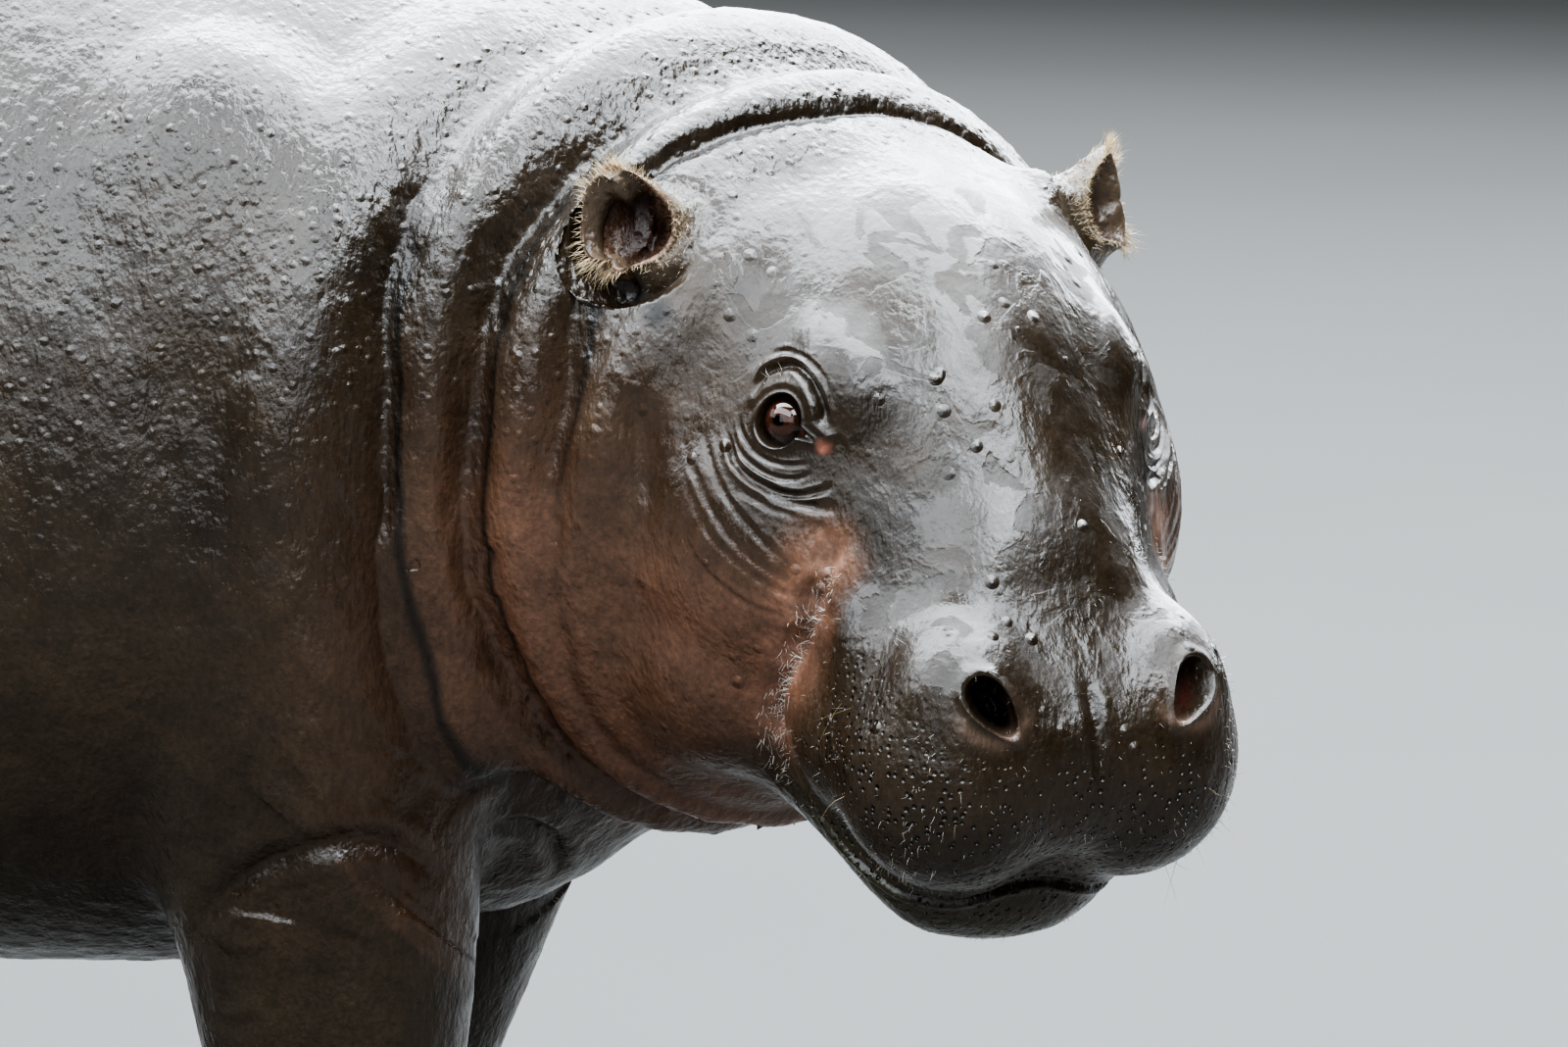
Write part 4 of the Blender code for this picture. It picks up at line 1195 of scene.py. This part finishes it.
def paint_head(coat, local):
    """Pink cheek and corner of the mouth, dry places, olive chin, nostrils, eye corners, and painted
    shade in the hollow under the ear.
    """

    def near(places, reach):
        return near_places(local, on_both_sides(places), reach)

    coat.blend(0.42 * near(PINK_CHEEK, 0.085) * (0.8 + 0.4 * coat.cloud), PINK)
    coat.blend(0.75 * near(PINK_CORNER, 0.030) * (0.75 + 0.35 * coat.fine), PINK)
    coat.blend(0.50 * near(PINK_CORNER, 0.014) * (0.7 + 0.5 * coat.fine), PALE)
    dried = near(DRY_PLACES, 0.021) * (0.8 + 0.3 * coat.fine)
    coat.blend(0.5 * dried, BROWN)
    coat.dry(np.clip(0.85 * dried, 0, 0.9))
    coat.dry(0.62 * near([EYE_AT], 0.062))
    # painted shade: the hollow under the ear is darkened, as if in shadow
    coat.blend(0.9 * near(EAR_POCKET_SHADE, 0.012), DARK * 0.2)
    coat.dry(0.9 * near(EAR_POCKET_SHADE, 0.014))
    x, y, z = local.T
    chin = ramp(x, 0.03, 0.12) * (1 - ramp(z, -0.165, -0.135)) * (abs(y) < 0.12)
    coat.blend(0.65 * chin, OLIVE)
    for side in (1, -1):
        offset = local - mirrored(NOSTRIL_AT, side)
        away = np.linalg.norm(offset, axis=1)
        deep = 1 - ramp(offset @ unit(mirrored(NOSTRIL_WAYS[0], side)), -0.010, -0.001)
        coat.blend((1 - ramp(away, 0.009, 0.016)) * deep, DARK_RED)
        coat.blend(0.16 * bell(away - 0.0165, 0.0035) * ramp(-offset[:, 2], -0.002, 0.008), PALE)
    coat.blend(0.85 * near(CANTHUS, 0.0060), PALE * (0.9, 0.55, 0.5))


def paint_ear(coat, grid):
    """Fawn wall, flesh coloured cup with painted shade at its bottom, and a pale rim."""
    depth = np.arange(len(grid)) - EAR_RIM
    wall, inner, deep, edge = np.zeros((4, len(coat.dull)))
    wall[grid[4 : EAR_RIM + 1]] = ramp(np.arange(4, EAR_RIM + 1), 6, 20)[:, None]
    inner[grid] = ramp(depth, 0, 4)[:, None]
    deep[grid] = ramp(depth, 14, 26)[:, None]
    edge[grid] = bell(depth + 1, 4)[:, None]
    coat.blend(0.8 * wall, EAR_WALL)
    coat.blend(0.9 * inner * (0.85 + 0.15 * coat.fine), INNER_EAR)
    # painted shade: the bottom of the cup is darkened, as if in shadow
    coat.blend(0.75 * deep, DARK_RED * 0.3)
    coat.blend(0.30 * edge, PALE)
    coat.dry(np.maximum(0.92 * wall, 0.97 * inner))


def paint(body):
    """Colour of each point, and how strongly it is pored, pebbled and wet."""
    mesh = body.data
    at = points_of(mesh)
    local = into_head(at)
    normals = normals_of(mesh)
    coat = Coat(at, normals)
    paint_neck(coat, at, normals)
    paint_head(coat, local)
    for side in EARS:
        paint_ear(coat, ear_grid(mesh, side))
    mottle = np.clip(1 + 0.10 * coat.fine + 0.08 * coat.cloud, 0.6, 1.5)
    add_colours(mesh, "tone", coat.colour * mottle[:, None], 1 - coat.dull)
    x, y, z = local.T
    muzzle = ramp(x, 0.085, 0.125) * (abs(y) < 0.13) * (z < 0.03)
    pores = muzzle * (1 - ramp(z, -0.075, -0.030))
    head = 1 - ramp(np.linalg.norm(local - HEAD_ROOM[0], axis=1), 0.15, 0.21)
    patches = 0.6 + 0.4 * ramp(noise(at, 0.16, 31), -0.5, 0.6)
    pebbles = (1 - head) * ramp(at[:, 2], 0.40, 0.60) * patches
    wet = head * ramp(normals[:, 2] - 0.35 * muzzle * (1 - ramp(z, -0.05, 0.0)), 0.05, 0.60)
    add_colours(mesh, "surface", np.column_stack([pores, pebbles, wet]), head)


# ---------------------------------------------------------------- materials


class Nodes:
    """Short hand for building a material."""

    def __init__(self, name, **plain):
        self.material = bpy.data.materials.new(name)
        self.material.use_nodes = True
        self.tree = self.material.node_tree
        self.surface = self.tree.nodes["Principled BSDF"]
        for key, value in plain.items():
            self.surface.inputs[key.replace("_", " ")].default_value = value

    def add(self, kind, inputs=None, **settings):
        made = self.tree.nodes.new(kind)
        for key, value in settings.items():
            setattr(made, key, value)
        for key, value in (inputs or {}).items():
            if isinstance(value, bpy.types.NodeSocket):
                self.tree.links.new(value, made.inputs[key])
            else:
                made.inputs[key].default_value = value
        return made

    def math(self, operation, *values):
        return self.add("ShaderNodeMath", dict(enumerate(values)), operation=operation).outputs[0]

    def product(self, first, *others):
        for other in others:
            first = self.math("MULTIPLY", first, other)
        return first

    def rest_of(self, share):
        return self.math("SUBTRACT", 1.0, share)

    def place(self):
        return self.add("ShaderNodeTexCoord").outputs["Object"]

    def stretched(self, where, height):
        """The place with its height scaled, so that a texture is drawn out upward."""
        scale = (1.0, 1.0, height)
        return self.add("ShaderNodeMapping", {"Vector": where, "Scale": scale}).outputs[0]

    def grey(self, value):
        return self.add("ShaderNodeCombineColor", {0: value, 1: value, 2: value}).outputs[0]

    def length(self, across, high):
        squares = (self.math("POWER", value, 2.0) for value in (across, high))
        return self.math("SQRT", self.math("ADD", *squares))

    def mix(self, factor, first, second, blend="MIX"):
        made = self.add(
            "ShaderNodeMix", {0: factor, 6: first, 7: second}, data_type="RGBA", blend_type=blend
        )
        return made.outputs[2]

    def fit(self, value, low, high, to_low=0.0, to_high=1.0):
        made = self.add("ShaderNodeMapRange", {0: value, 1: low, 2: high, 3: to_low, 4: to_high})
        return made.outputs[0]

    def noise(self, where, scale, detail=2.0, **more):
        made = self.add(
            "ShaderNodeTexNoise", {"Vector": where, "Scale": scale, "Detail": detail, **more}
        )
        return made.outputs[0]

    def voronoi(self, where, scale, feature="F1", **more):
        made = self.add(
            "ShaderNodeTexVoronoi", {"Vector": where, "Scale": scale, **more}, feature=feature
        )
        return made.outputs["Distance"]

    def bump(self, height, distance, strength, before=None):
        inputs = {"Height": height, "Distance": distance, "Strength": strength}
        if before:
            inputs["Normal"] = before
        return self.add("ShaderNodeBump", inputs).outputs[0]

    def link(self, output, key):
        self.tree.links.new(output, self.surface.inputs[key])


def skin_material():
    """Hide under a film of water, which hides the relief on top; the sides glint in lines."""
    nodes = Nodes(
        "wet_skin", Coat_Weight=1.0, Coat_Roughness=0.20, Coat_IOR=1.38, Specular_IOR_Level=0.5
    )
    where = nodes.place()
    painted = nodes.add("ShaderNodeAttribute", attribute_name="tone")
    tone, film_share = painted.outputs["Color"], painted.outputs["Alpha"]
    marks = nodes.add("ShaderNodeAttribute", attribute_name="surface")
    pored, pebbled, wet = nodes.add("ShaderNodeSeparateColor", {0: marks.outputs["Color"]}).outputs
    head = marks.outputs["Alpha"]
    tall = nodes.stretched(where, 0.45)
    wrinkles = nodes.noise(tall, 130.0, 3.0)
    lines = nodes.noise(tall, 340.0, 2.0)
    grain = nodes.noise(where, 420.0, 2.0)
    grit = nodes.noise(where, 300.0, 3.0)
    # Gaps are where the film has run off, drops are where it beads, and pits are the pores.
    gaps = nodes.fit(nodes.noise(where, 42.0, 4.0, Distortion=0.7), 0.53, 0.57)
    dots = nodes.fit(nodes.voronoi(where, 140.0), 0.03, 0.34, 1.0, 0.0)
    scatter = nodes.fit(nodes.noise(where, 22.0, 1.0), 0.42, 0.60)
    beads = nodes.voronoi(where, 62.0, "SMOOTH_F1", Smoothness=0.25)
    drops = nodes.product(nodes.fit(beads, 0.05, 0.22, 1.0, 0.0), scatter, head)
    between = nodes.fit(nodes.voronoi(where, 225.0, Randomness=0.75), 0.14, 0.32, 0.0, 1.0)
    pit = nodes.product(nodes.rest_of(between), pored)
    # shade is the skin's random tone with painted shade: the pores' pits are darkened, and the
    # grooves of the fine lines a little
    shade = nodes.product(
        nodes.fit(nodes.noise(where, 26.0, 4.0), 0.3, 0.7, 0.78, 1.22),
        nodes.fit(grain, 0.3, 0.7, 0.88, 1.12),
        nodes.fit(pit, 0.0, 1.0, 1.0, 0.16),
        nodes.fit(lines, 0.35, 0.60, 0.85, 1.05),
    )
    nodes.link(nodes.mix(1.0, tone, nodes.grey(shade), "MULTIPLY"), "Base Color")
    drained = nodes.product(gaps, wet)
    rough = nodes.fit(nodes.noise(where, 60.0, 5.0), 0.35, 0.65, 0.22, 0.42)
    nodes.link(nodes.math("ADD", rough, nodes.product(drained, 0.25)), "Roughness")
    bare = nodes.fit(wet, 0.0, 1.0, 1.0, 0.30)
    normal = None
    for height, distance, strength in (
        (wrinkles, 0.0030, nodes.product(bare, 0.40)),
        (lines, 0.0012, nodes.product(bare, 0.55)),
        (nodes.product(dots, pebbled), 0.0013, 0.75),
        (grit, 0.0016, nodes.fit(head, 0.0, 1.0, 0.34, 0.14)),
        (drops, 0.0022, 0.8),
        (nodes.rest_of(pit), 0.0018, 0.9),
        (nodes.rest_of(drained), 0.0005, 0.35),
    ):
        normal = nodes.bump(height, distance, strength, normal)
    nodes.link(nodes.product(film_share, nodes.rest_of(nodes.product(drained, 0.50))), "Coat Weight")
    nodes.link(nodes.bump(grain, 0.0008, 0.25, normal), "Normal")
    nodes.link(normal, "Coat Normal")
    return nodes.material


def bristle_material():
    nodes = Nodes("bristle", Roughness=0.42, Specular_IOR_Level=0.5)
    tone = nodes.add("ShaderNodeAttribute", attribute_name="tone").outputs["Color"]
    shade = nodes.fit(nodes.noise(nodes.place(), 300.0, 1.0), 0.3, 0.7, 0.75, 1.2)
    nodes.link(nodes.mix(1.0, tone, nodes.grey(shade), "MULTIPLY"), "Base Color")
    return nodes.material


PUPIL = (0.0031, 0.0024)
IRIS = 0.0099
IRIS_COLOURS = (0.024, 0.008, 0.004, 1), (0.070, 0.022, 0.011, 1)
IRIS_RIM_COLOUR = (0.012, 0.006, 0.004, 1)
PUPIL_COLOUR = (0.002, 0.001, 0.001, 1)
WHITE_COLOURS = (0.080, 0.022, 0.012, 1), (0.16, 0.050, 0.028, 1)
SHADED_WHITE = (0.020, 0.010, 0.007, 1)
HORN_COLOURS = (0.085, 0.055, 0.038, 1), (0.20, 0.145, 0.100, 1)
HORN_RIDGE_COLOUR = (0.05, 0.035, 0.025, 1)


def eye_material():
    """The eyeball's own Z points out through the pupil, X to the front corner of the eye."""
    nodes = Nodes("eyeball", Roughness=0.06, Coat_Weight=1.0, Coat_Roughness=0.02, Coat_IOR=1.45)
    where = nodes.place()
    x, y, _ = nodes.add("ShaderNodeSeparateXYZ", {0: where}).outputs
    pupil = nodes.length(nodes.math("DIVIDE", x, PUPIL[0]), nodes.math("DIVIDE", y, PUPIL[1]))
    out = nodes.length(x, y)
    fibre_at = {0: nodes.product(nodes.math("ARCTAN2", y, x), 4.0), 1: nodes.product(out, 160.0)}
    fibres = nodes.noise(nodes.add("ShaderNodeCombineXYZ", fibre_at).outputs[0], 3.0, 4.0)
    iris = nodes.mix(nodes.fit(fibres, 0.3, 0.7), *IRIS_COLOURS)
    iris = nodes.mix(nodes.fit(out, IRIS - 0.0024, IRIS - 0.0004), iris, IRIS_RIM_COLOUR)
    iris = nodes.mix(nodes.fit(pupil, 0.9, 1.15, 1.0, 0.0), iris, PUPIL_COLOUR)
    white = nodes.mix(nodes.fit(nodes.noise(where, 500.0, 3.0), 0.4, 0.65), *WHITE_COLOURS)
    white = nodes.mix(nodes.fit(x, 0.004, 0.012), SHADED_WHITE, white)
    nodes.link(nodes.mix(nodes.fit(out, IRIS, IRIS + 0.0008), iris, white), "Base Color")
    return nodes.material


def nail_material():
    nodes = Nodes("nail_horn", Coat_Weight=0.2, Coat_Roughness=0.25)
    where = nodes.place()
    ridges = nodes.noise(nodes.stretched(where, 0.15), 500.0, 3.0)
    horn = nodes.mix(nodes.fit(nodes.noise(where, 120.0, 3.0), 0.35, 0.65), *HORN_COLOURS)
    horn = nodes.mix(nodes.fit(ridges, 0.35, 0.65, 0.0, 0.4), horn, HORN_RIDGE_COLOUR)
    nodes.link(horn, "Base Color")
    nodes.link(nodes.fit(ridges, 0.3, 0.7, 0.35, 0.55), "Roughness")
    nodes.link(nodes.bump(ridges, 0.0008, 0.5), "Normal")
    return nodes.material


def floor_material():
    nodes = Nodes("pale_floor", Roughness=0.75)
    cloudy = nodes.noise(nodes.place(), 1.5, 3.0)
    nodes.link(nodes.mix(cloudy, (*FLOOR_DARK, 1), (*FLOOR_PALE, 1)), "Base Color")
    return nodes.material


# ---------------------------------------------------------------- eyes, nails, bristles

CORNEA = 0.0012  # how far it stands out of the eyeball
CORNEA_HALF = 0.55  # angle from the eye's axis to its edge
NAIL_LEVELS = 2
HAIR_LEVELS, HAIR_CORNERS = 4, 3
HAIR_TAPER = 0.75
MAP_PATCH = 0.003  # width of a hair's patch of the map


def add_eye(side, look):
    mirror = 1 if side == "left" else -1
    out, front, up = (HEAD_SPIN @ mirrored(way, mirror) for way in EYE_WAYS)
    bm = bmesh.new()
    bmesh.ops.create_uvsphere(bm, u_segments=96, v_segments=64, radius=EYE_RADIUS)
    for vert in bm.verts:
        lean = vert.co.angle(Vector((0, 0, 1)))
        vert.co *= 1 + CORNEA / EYE_RADIUS * math.exp(-((lean / CORNEA_HALF) ** 4))
    for face in bm.faces:
        face.smooth = True
    eye = new_object(f"eyeball_{side}", bm)
    spin = Matrix(np.column_stack([front, up, out]).tolist()).to_4x4()
    eye.matrix_world = Matrix.Translation(from_head(mirrored(EYE_AT, mirror))) @ spin
    eye.data.materials.append(look)
    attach(eye, "root")
    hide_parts(f"eye_{side}")


def add_nail_piece(name, node, look):
    """A smooth nail in place of the faceted one."""
    piece = linked(f"horn_{name}", node.data.copy())
    piece.matrix_world = node.matrix_world
    rounding = piece.modifiers.new("rounding", "SUBSURF")
    rounding.levels = rounding.render_levels = NAIL_LEVELS
    settle(piece)
    for face in piece.data.polygons:
        face.use_smooth = True
    piece.data.materials.clear()
    piece.data.materials.append(look)
    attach(piece, "root")
    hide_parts(name)


def hair_faces():
    """Quads of one hair from its root up, and the triangles of its tip."""
    quads, tips = [], []
    for k in range(HAIR_LEVELS * HAIR_CORNERS):
        after = k - k % HAIR_CORNERS + (k + 1) % HAIR_CORNERS
        if k < (HAIR_LEVELS - 1) * HAIR_CORNERS:
            quads.append((k, after, after + HAIR_CORNERS, k + HAIR_CORNERS))
        else:
            tips.append((k, after, HAIR_LEVELS * HAIR_CORNERS))
    return quads, tips


def map_of(mesh):
    """Each point's place in the map."""
    places = np.zeros((len(mesh.vertices), 2))
    places[read(mesh.loops, "vertex_index", 1, np.int32)] = read(
        mesh.uv_layers["OFBake"].data, "uv", 2
    )
    return places


def add_bristles(name, body, roots, way, length, thickness, droop, colour, look):
    """Tapered hairs: each grows at a point of the skin and bends along droop."""
    start = points_of(body.data)[roots]
    way = unit(way)
    side = unit(np.cross(way, unit(np.array((0.31, 0.52, 0.79)))))
    other = np.cross(way, side)
    rings = []
    for level in range(HAIR_LEVELS):
        share = level / HAIR_LEVELS
        middle = start + way * (length * share)[:, None] + droop * (length * share**2)[:, None]
        for corner in range(HAIR_CORNERS):
            turn = 2 * math.pi * corner / HAIR_CORNERS
            spoke = side * math.cos(turn) + other * math.sin(turn)
            rings.append(middle + spoke * thickness * (1 - HAIR_TAPER * share))
    rings.append(start + way * length[:, None] + droop * length[:, None])
    each = len(rings)
    bases = np.arange(len(roots))[:, None, None] * each
    faces = [face for kind in hair_faces() for hair in (bases + kind).tolist() for face in hair]
    made = bpy.data.meshes.new(name)
    made.from_pydata(np.stack(rings, 1).reshape(-1, 3).tolist(), [], faces)
    coat = linked(name, made)
    loops = read(made.loops, "vertex_index", 1, np.int32)
    spots = [(k % HAIR_CORNERS / HAIR_CORNERS, k // HAIR_CORNERS / HAIR_LEVELS) for k in range(each)]
    places = map_of(body.data)[roots][loops // each] + MAP_PATCH * np.array(spots)[loops % each]
    layer = made.uv_layers.new(name="OFBake")
    layer.data.foreach_set("uv", places.astype(np.float32).ravel())
    shades = np.repeat(colour, each, axis=0)
    add_colours(made, "tone", shades, np.ones(len(shades)))
    made.materials.append(look)
    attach(coat, "root")


EAR_HAIRS = 430
EAR_CUP_HAIRS = 900
EAR_WALL_HAIRS = 500
EAR_FUZZ = 14  # rings behind the rim that also carry hairs
EAR_HAIR, EAR_FUZZ_HAIR = 0.00012, 0.00014  # radii of the hairs at their roots
# Lines on the left side of the head, along which bristles grow on both sides
MOUTH_CORNER = [
    (0.062, 0.088, -0.040), (0.067, 0.091, -0.062), (0.069, 0.093, -0.090),
    (0.067, 0.091, -0.112), (0.067, 0.087, -0.135), (0.073, 0.080, -0.157),
]
MUZZLE_EDGE = [
    (0.120, 0.085, -0.020), (0.165, 0.085, -0.040), (0.186, 0.078, -0.070),
    (0.185, 0.078, -0.105), (0.165, 0.075, -0.135),
]
UPPER_LID = [(-0.021, 0.099, 0.008), (-0.014, 0.092, 0.016), (-0.004, 0.088, 0.019)]
FAWN = np.array((0.150, 0.085, 0.050))
STRAW = np.array((0.52, 0.37, 0.19))
CREAM = np.array((0.72, 0.61, 0.43))
WHITE = np.array((0.80, 0.76, 0.68))
OFF_WHITE = WHITE * 0.8
BLACK = np.array((0.04, 0.030, 0.024))


def area_weights(mesh):
    """Share of the skin's area round each point, so that fine places don't get more hairs."""
    areas = read(mesh.polygons, "area")
    totals = read(mesh.polygons, "loop_total", 1, np.int32)
    loops = read(mesh.loops, "vertex_index", 1, np.int32)
    return np.bincount(loops, np.repeat(areas / totals, totals), len(mesh.vertices))


def ear_fringe(side, body, look):
    """Golden hairs on the rim: longest at the tip and on the lobe, and fuzz behind them."""
    _, front, up, opens = ear_frame(side)
    grid = ear_grid(body.data, side)
    turn = 2 * math.pi * np.arange(EAR_RINGS) / EAR_RINGS
    tip = bell_round(turn, EAR_TIP_TURN, 0.75)
    lobe = bell_round(turn, EAR_LOBE_TURN, 0.55)
    share = 0.14 + 1.4 * tip + 0.9 * lobe
    spoke = RANDOM.choice(EAR_RINGS, EAR_HAIRS, p=share / share.sum())
    back = (EAR_FUZZ * RANDOM.random(EAR_HAIRS) ** 3).astype(int)
    roots = grid[EAR_RIM + 1 - back, spoke]
    outwards = np.outer(np.cos(turn[spoke]), front) + np.outer(np.sin(turn[spoke]), up)
    way = 0.85 * outwards + 0.50 * opens + 0.22 * RANDOM.normal(size=(EAR_HAIRS, 3))
    length = 0.0022 + 0.0024 * RANDOM.random(EAR_HAIRS) + (0.0060 * tip + 0.0070 * lobe)[spoke]
    length = length * (1 - 0.5 * ramp(back, 2, EAR_FUZZ))
    colour = STRAW + (CREAM - STRAW) * RANDOM.random((EAR_HAIRS, 1))
    droop = 0.22 * RANDOM.normal(size=(EAR_HAIRS, 3)) - (0, 0, 0.12)
    way = way @ HEAD_SPIN.T
    add_bristles(f"ear_fringe_{side}", body, roots, way, length, EAR_HAIR, droop, colour, look)


def ear_fuzz(side, body, look):
    """Short soft hairs in the cup, brown, and pale ones on the wall before it."""
    _, front, up, opens = ear_frame(side)
    grid = ear_grid(body.data, side)
    deep = RANDOM.integers(EAR_RIM + 1, EAR_RIM + 24, EAR_CUP_HAIRS)
    cup_spoke = RANDOM.integers(0, EAR_RINGS, EAR_CUP_HAIRS)
    wall = RANDOM.integers(4, EAR_RIM, EAR_WALL_HAIRS)
    turn = RANDOM.normal(0.6, 0.8, EAR_WALL_HAIRS)
    spoke = np.mod(np.round(turn * EAR_RINGS / (2 * math.pi)), EAR_RINGS).astype(int)
    roots = np.concatenate([grid[deep, cup_spoke], grid[wall, spoke]])
    count = len(roots)
    cup = np.arange(count) < EAR_CUP_HAIRS
    way = normals_of(body.data)[roots] @ HEAD_SPIN * 0.5 + np.where(cup, 1.0, 0.55)[:, None] * opens
    way = way + 0.35 * RANDOM.normal(size=(count, 3))
    length = np.where(cup, 0.0030, 0.0026) * (0.6 + 0.9 * RANDOM.random(count))
    shade = np.where(cup[:, None], FAWN, CREAM) * (0.6 + 0.5 * RANDOM.random((count, 1)))
    droop = 0.20 * RANDOM.normal(size=(count, 3))
    way = way @ HEAD_SPIN.T
    add_bristles(f"ear_fuzz_{side}", body, roots, way, length, EAR_FUZZ_HAIR, droop, shade, look)


def along_places(local, corners, reach):
    """1 near a line through the corners, on both sides of the head."""
    return near_places(local, on_both_sides(smooth_between(corners, 4)), reach)


def hair_coats(body):
    """Each coat's name, where it grows, count, lean, lengths, spread, thickness and colour."""
    at = points_of(body.data)
    local = into_head(at)
    x, y, z = local.T
    muzzle = ramp(x, 0.06, 0.12) * (z < 0.02) * (z > -0.21) * (abs(y) < 0.13)
    edge = along_places(local, MUZZLE_EDGE, 0.016)
    corner = along_places(local, MOUTH_CORNER, 0.011)
    lids = along_places(local, UPPER_LID, 0.007)
    lip = muzzle * (z < -0.06) * (z > -0.17) * ramp(abs(y), 0.03, 0.07)
    tail = ramp(-at[:, 0], 0.60, 0.62) * (at[:, 2] < 0.535) * (at[:, 2] > 0.48)
    return [
        ("muzzle_bristles", muzzle, 800, (0, 0, -0.30), (0.0010, 0.0034), 0.35, 0.00011, OFF_WHITE),
        ("edge_bristles", edge, 200, (0, 0, -0.2), (0.0020, 0.0060), 0.35, 0.00012, OFF_WHITE),
        ("corner_bristles", corner, 620, (0.25, -0.1, -0.15), (0.0025, 0.0075), 0.40, 0.00015, WHITE),
        ("lid_bristles", lids, 26, (0, 0, 0.35), (0.002, 0.006), 0.35, 0.00012, WHITE),
        ("whiskers", lip, 12, (0, 0, -0.35), (0.014, 0.028), 0.40, 0.00013, STRAW),
        ("tail_bristles", tail, 130, (-0.2, 0, -0.9), (0.010, 0.032), 0.25, 0.00028, BLACK),
    ]


def all_bristles(body, look):
    """Hairs of the ears, then the coats, whose hairs follow the skin's normal, lean and spread."""
    for side in EARS:
        ear_fringe(side, body, look)
        ear_fuzz(side, body, look)
    area = area_weights(body.data)
    normals = normals_of(body.data)
    for name, where, count, lean, (low, high), spread, thickness, shade in hair_coats(body):
        weight = area * where
        roots = RANDOM.choice(len(weight), count, replace=False, p=weight / weight.sum())
        way = normals[roots] + spread * RANDOM.normal(size=(count, 3)) + lean
        length = low + (high - low) * RANDOM.random(count) ** 2
        droop = 0.25 * RANDOM.normal(size=(count, 3)) - (0, 0, 0.10)
        colour = shade * (0.45 + 0.55 * RANDOM.random((count, 1)))
        add_bristles(name, body, roots, way, length, thickness, droop, colour, look)


# ---------------------------------------------------------------- stage, light and camera

CAMERA_AZIMUTH = 22.0
CAMERA_ELEVATION = 9.0
CAMERA_AWAY = 6.0
CAMERA_LENS = 297.0
LOOK_ACROSS, LOOK_DOWN = 0.0845, 0.0536  # of the point between the eyes
FLOOR_RADIUS = 60.0
FLOOR_DARK = (0.060, 0.0585, 0.0555)
FLOOR_PALE = (0.074, 0.072, 0.068)
PANELS = {
    # place, width and height, power and what it faces
    "softbox": ((-0.3, 1.3, 3.9), (5.8, 5.4), 1040.0, (-0.3, 1.3, 0.0)),
    "front_panel": ((2.6, -1.5, 3.2), (2.7, 1.5), 112.0, (0.6, -0.1, 0.6)),
    "rear_panel": ((-0.2, 4.6, 3.2), (5.6, 4.6), 560.0, (-0.2, 0.0, 0.9)),
    "side_panel": ((-1.1, -3.0, 3.6), (6.6, 2.1), 215.0, (0.0, 0.0, 0.7)),
    "low_panel": ((0.4, -3.7, 1.75), (4.6, 1.9), 40.0, (0.2, 0.0, 0.6)),
    "tail_panel": ((-3.6, -1.6, 2.3), (3.0, 1.8), 26.0, (0.4, 0.0, 0.6)),
    "fill": ((2.4, -4.6, 1.2), (2.4, 2.4), 5.0, (0.4, 0.0, 0.5)),
}
LAMP_COLOUR = (0.86, 0.93, 1.0)
WORLD = ((0.90, 0.86, 0.78), 0.045)
CONTRAST = "AgX - High Contrast"


def add_camera():
    a, e = math.radians(CAMERA_AZIMUTH), math.radians(CAMERA_ELEVATION)
    right = Vector((math.cos(a), math.sin(a), 0))
    back = Vector((math.sin(a) * math.cos(e), -math.cos(a) * math.cos(e), math.sin(e)))
    up = back.cross(right)
    target = HEAD_AT + SHIFT - LOOK_ACROSS * right - LOOK_DOWN * up
    data = bpy.data.cameras.new("camera")
    camera = linked("camera", data)
    camera.location = target + CAMERA_AWAY * back
    camera.rotation_mode = "QUATERNION"
    camera.rotation_quaternion = (-back).to_track_quat("-Z", "Y")
    data.lens = CAMERA_LENS
    data.sensor_width = 36.0
    data.clip_end = 200.0
    bpy.context.scene.camera = camera


def add_light(name, place, size, power, target):
    data = bpy.data.lights.new(name, "AREA")
    data.shape = "RECTANGLE"
    data.size, data.size_y = size
    data.energy = power
    data.color = LAMP_COLOUR
    lamp = linked(name, data)
    lamp.location = place
    lamp.rotation_mode = "QUATERNION"
    lamp.rotation_quaternion = (Vector(target) - Vector(place)).to_track_quat("-Z", "Y")
    lamp.visible_camera = False


def add_stage():
    bm = bmesh.new()
    bmesh.ops.create_circle(bm, cap_ends=True, segments=128, radius=FLOOR_RADIUS)
    floor = new_object("floor", bm)
    floor.location.z = -0.0005
    floor.data.materials.append(floor_material())
    world = bpy.data.worlds.new("studio")
    world.use_nodes = True
    colour, strength = WORLD
    background = world.node_tree.nodes["Background"]
    background.inputs["Color"].default_value = (*colour, 1)
    background.inputs["Strength"].default_value = strength
    bpy.context.scene.world = world
    for name, panel in PANELS.items():
        add_light(name, *panel)
    bpy.context.scene.view_settings.look = CONTRAST


def main():
    body = whole_body()
    unwrap(body)
    bm = refined(body)
    bm.verts.layers.int.new("ear")
    for side in EARS:
        graft_ear(bm, side)
    bmesh.ops.recalc_face_normals(bm, faces=bm.faces)
    for face in bm.faces:
        face.smooth = True
    bm.to_mesh(body.data)
    bm.free()
    sculpted(body)
    paint(body)
    body.data.materials.clear()
    body.data.materials.append(skin_material())
    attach(body, "root")
    flesh = [n for n in frame["nodes"] if not n.startswith(("eye_", "nail_"))]
    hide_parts(*flesh)
    look = eye_material()
    for side in EARS:
        add_eye(side, look)
    horn = nail_material()
    for name, node in frame["nodes"].items():
        if name.startswith("nail_"):
            add_nail_piece(name, node, horn)
    all_bristles(body, bristle_material())


main()
add_stage()
add_camera()
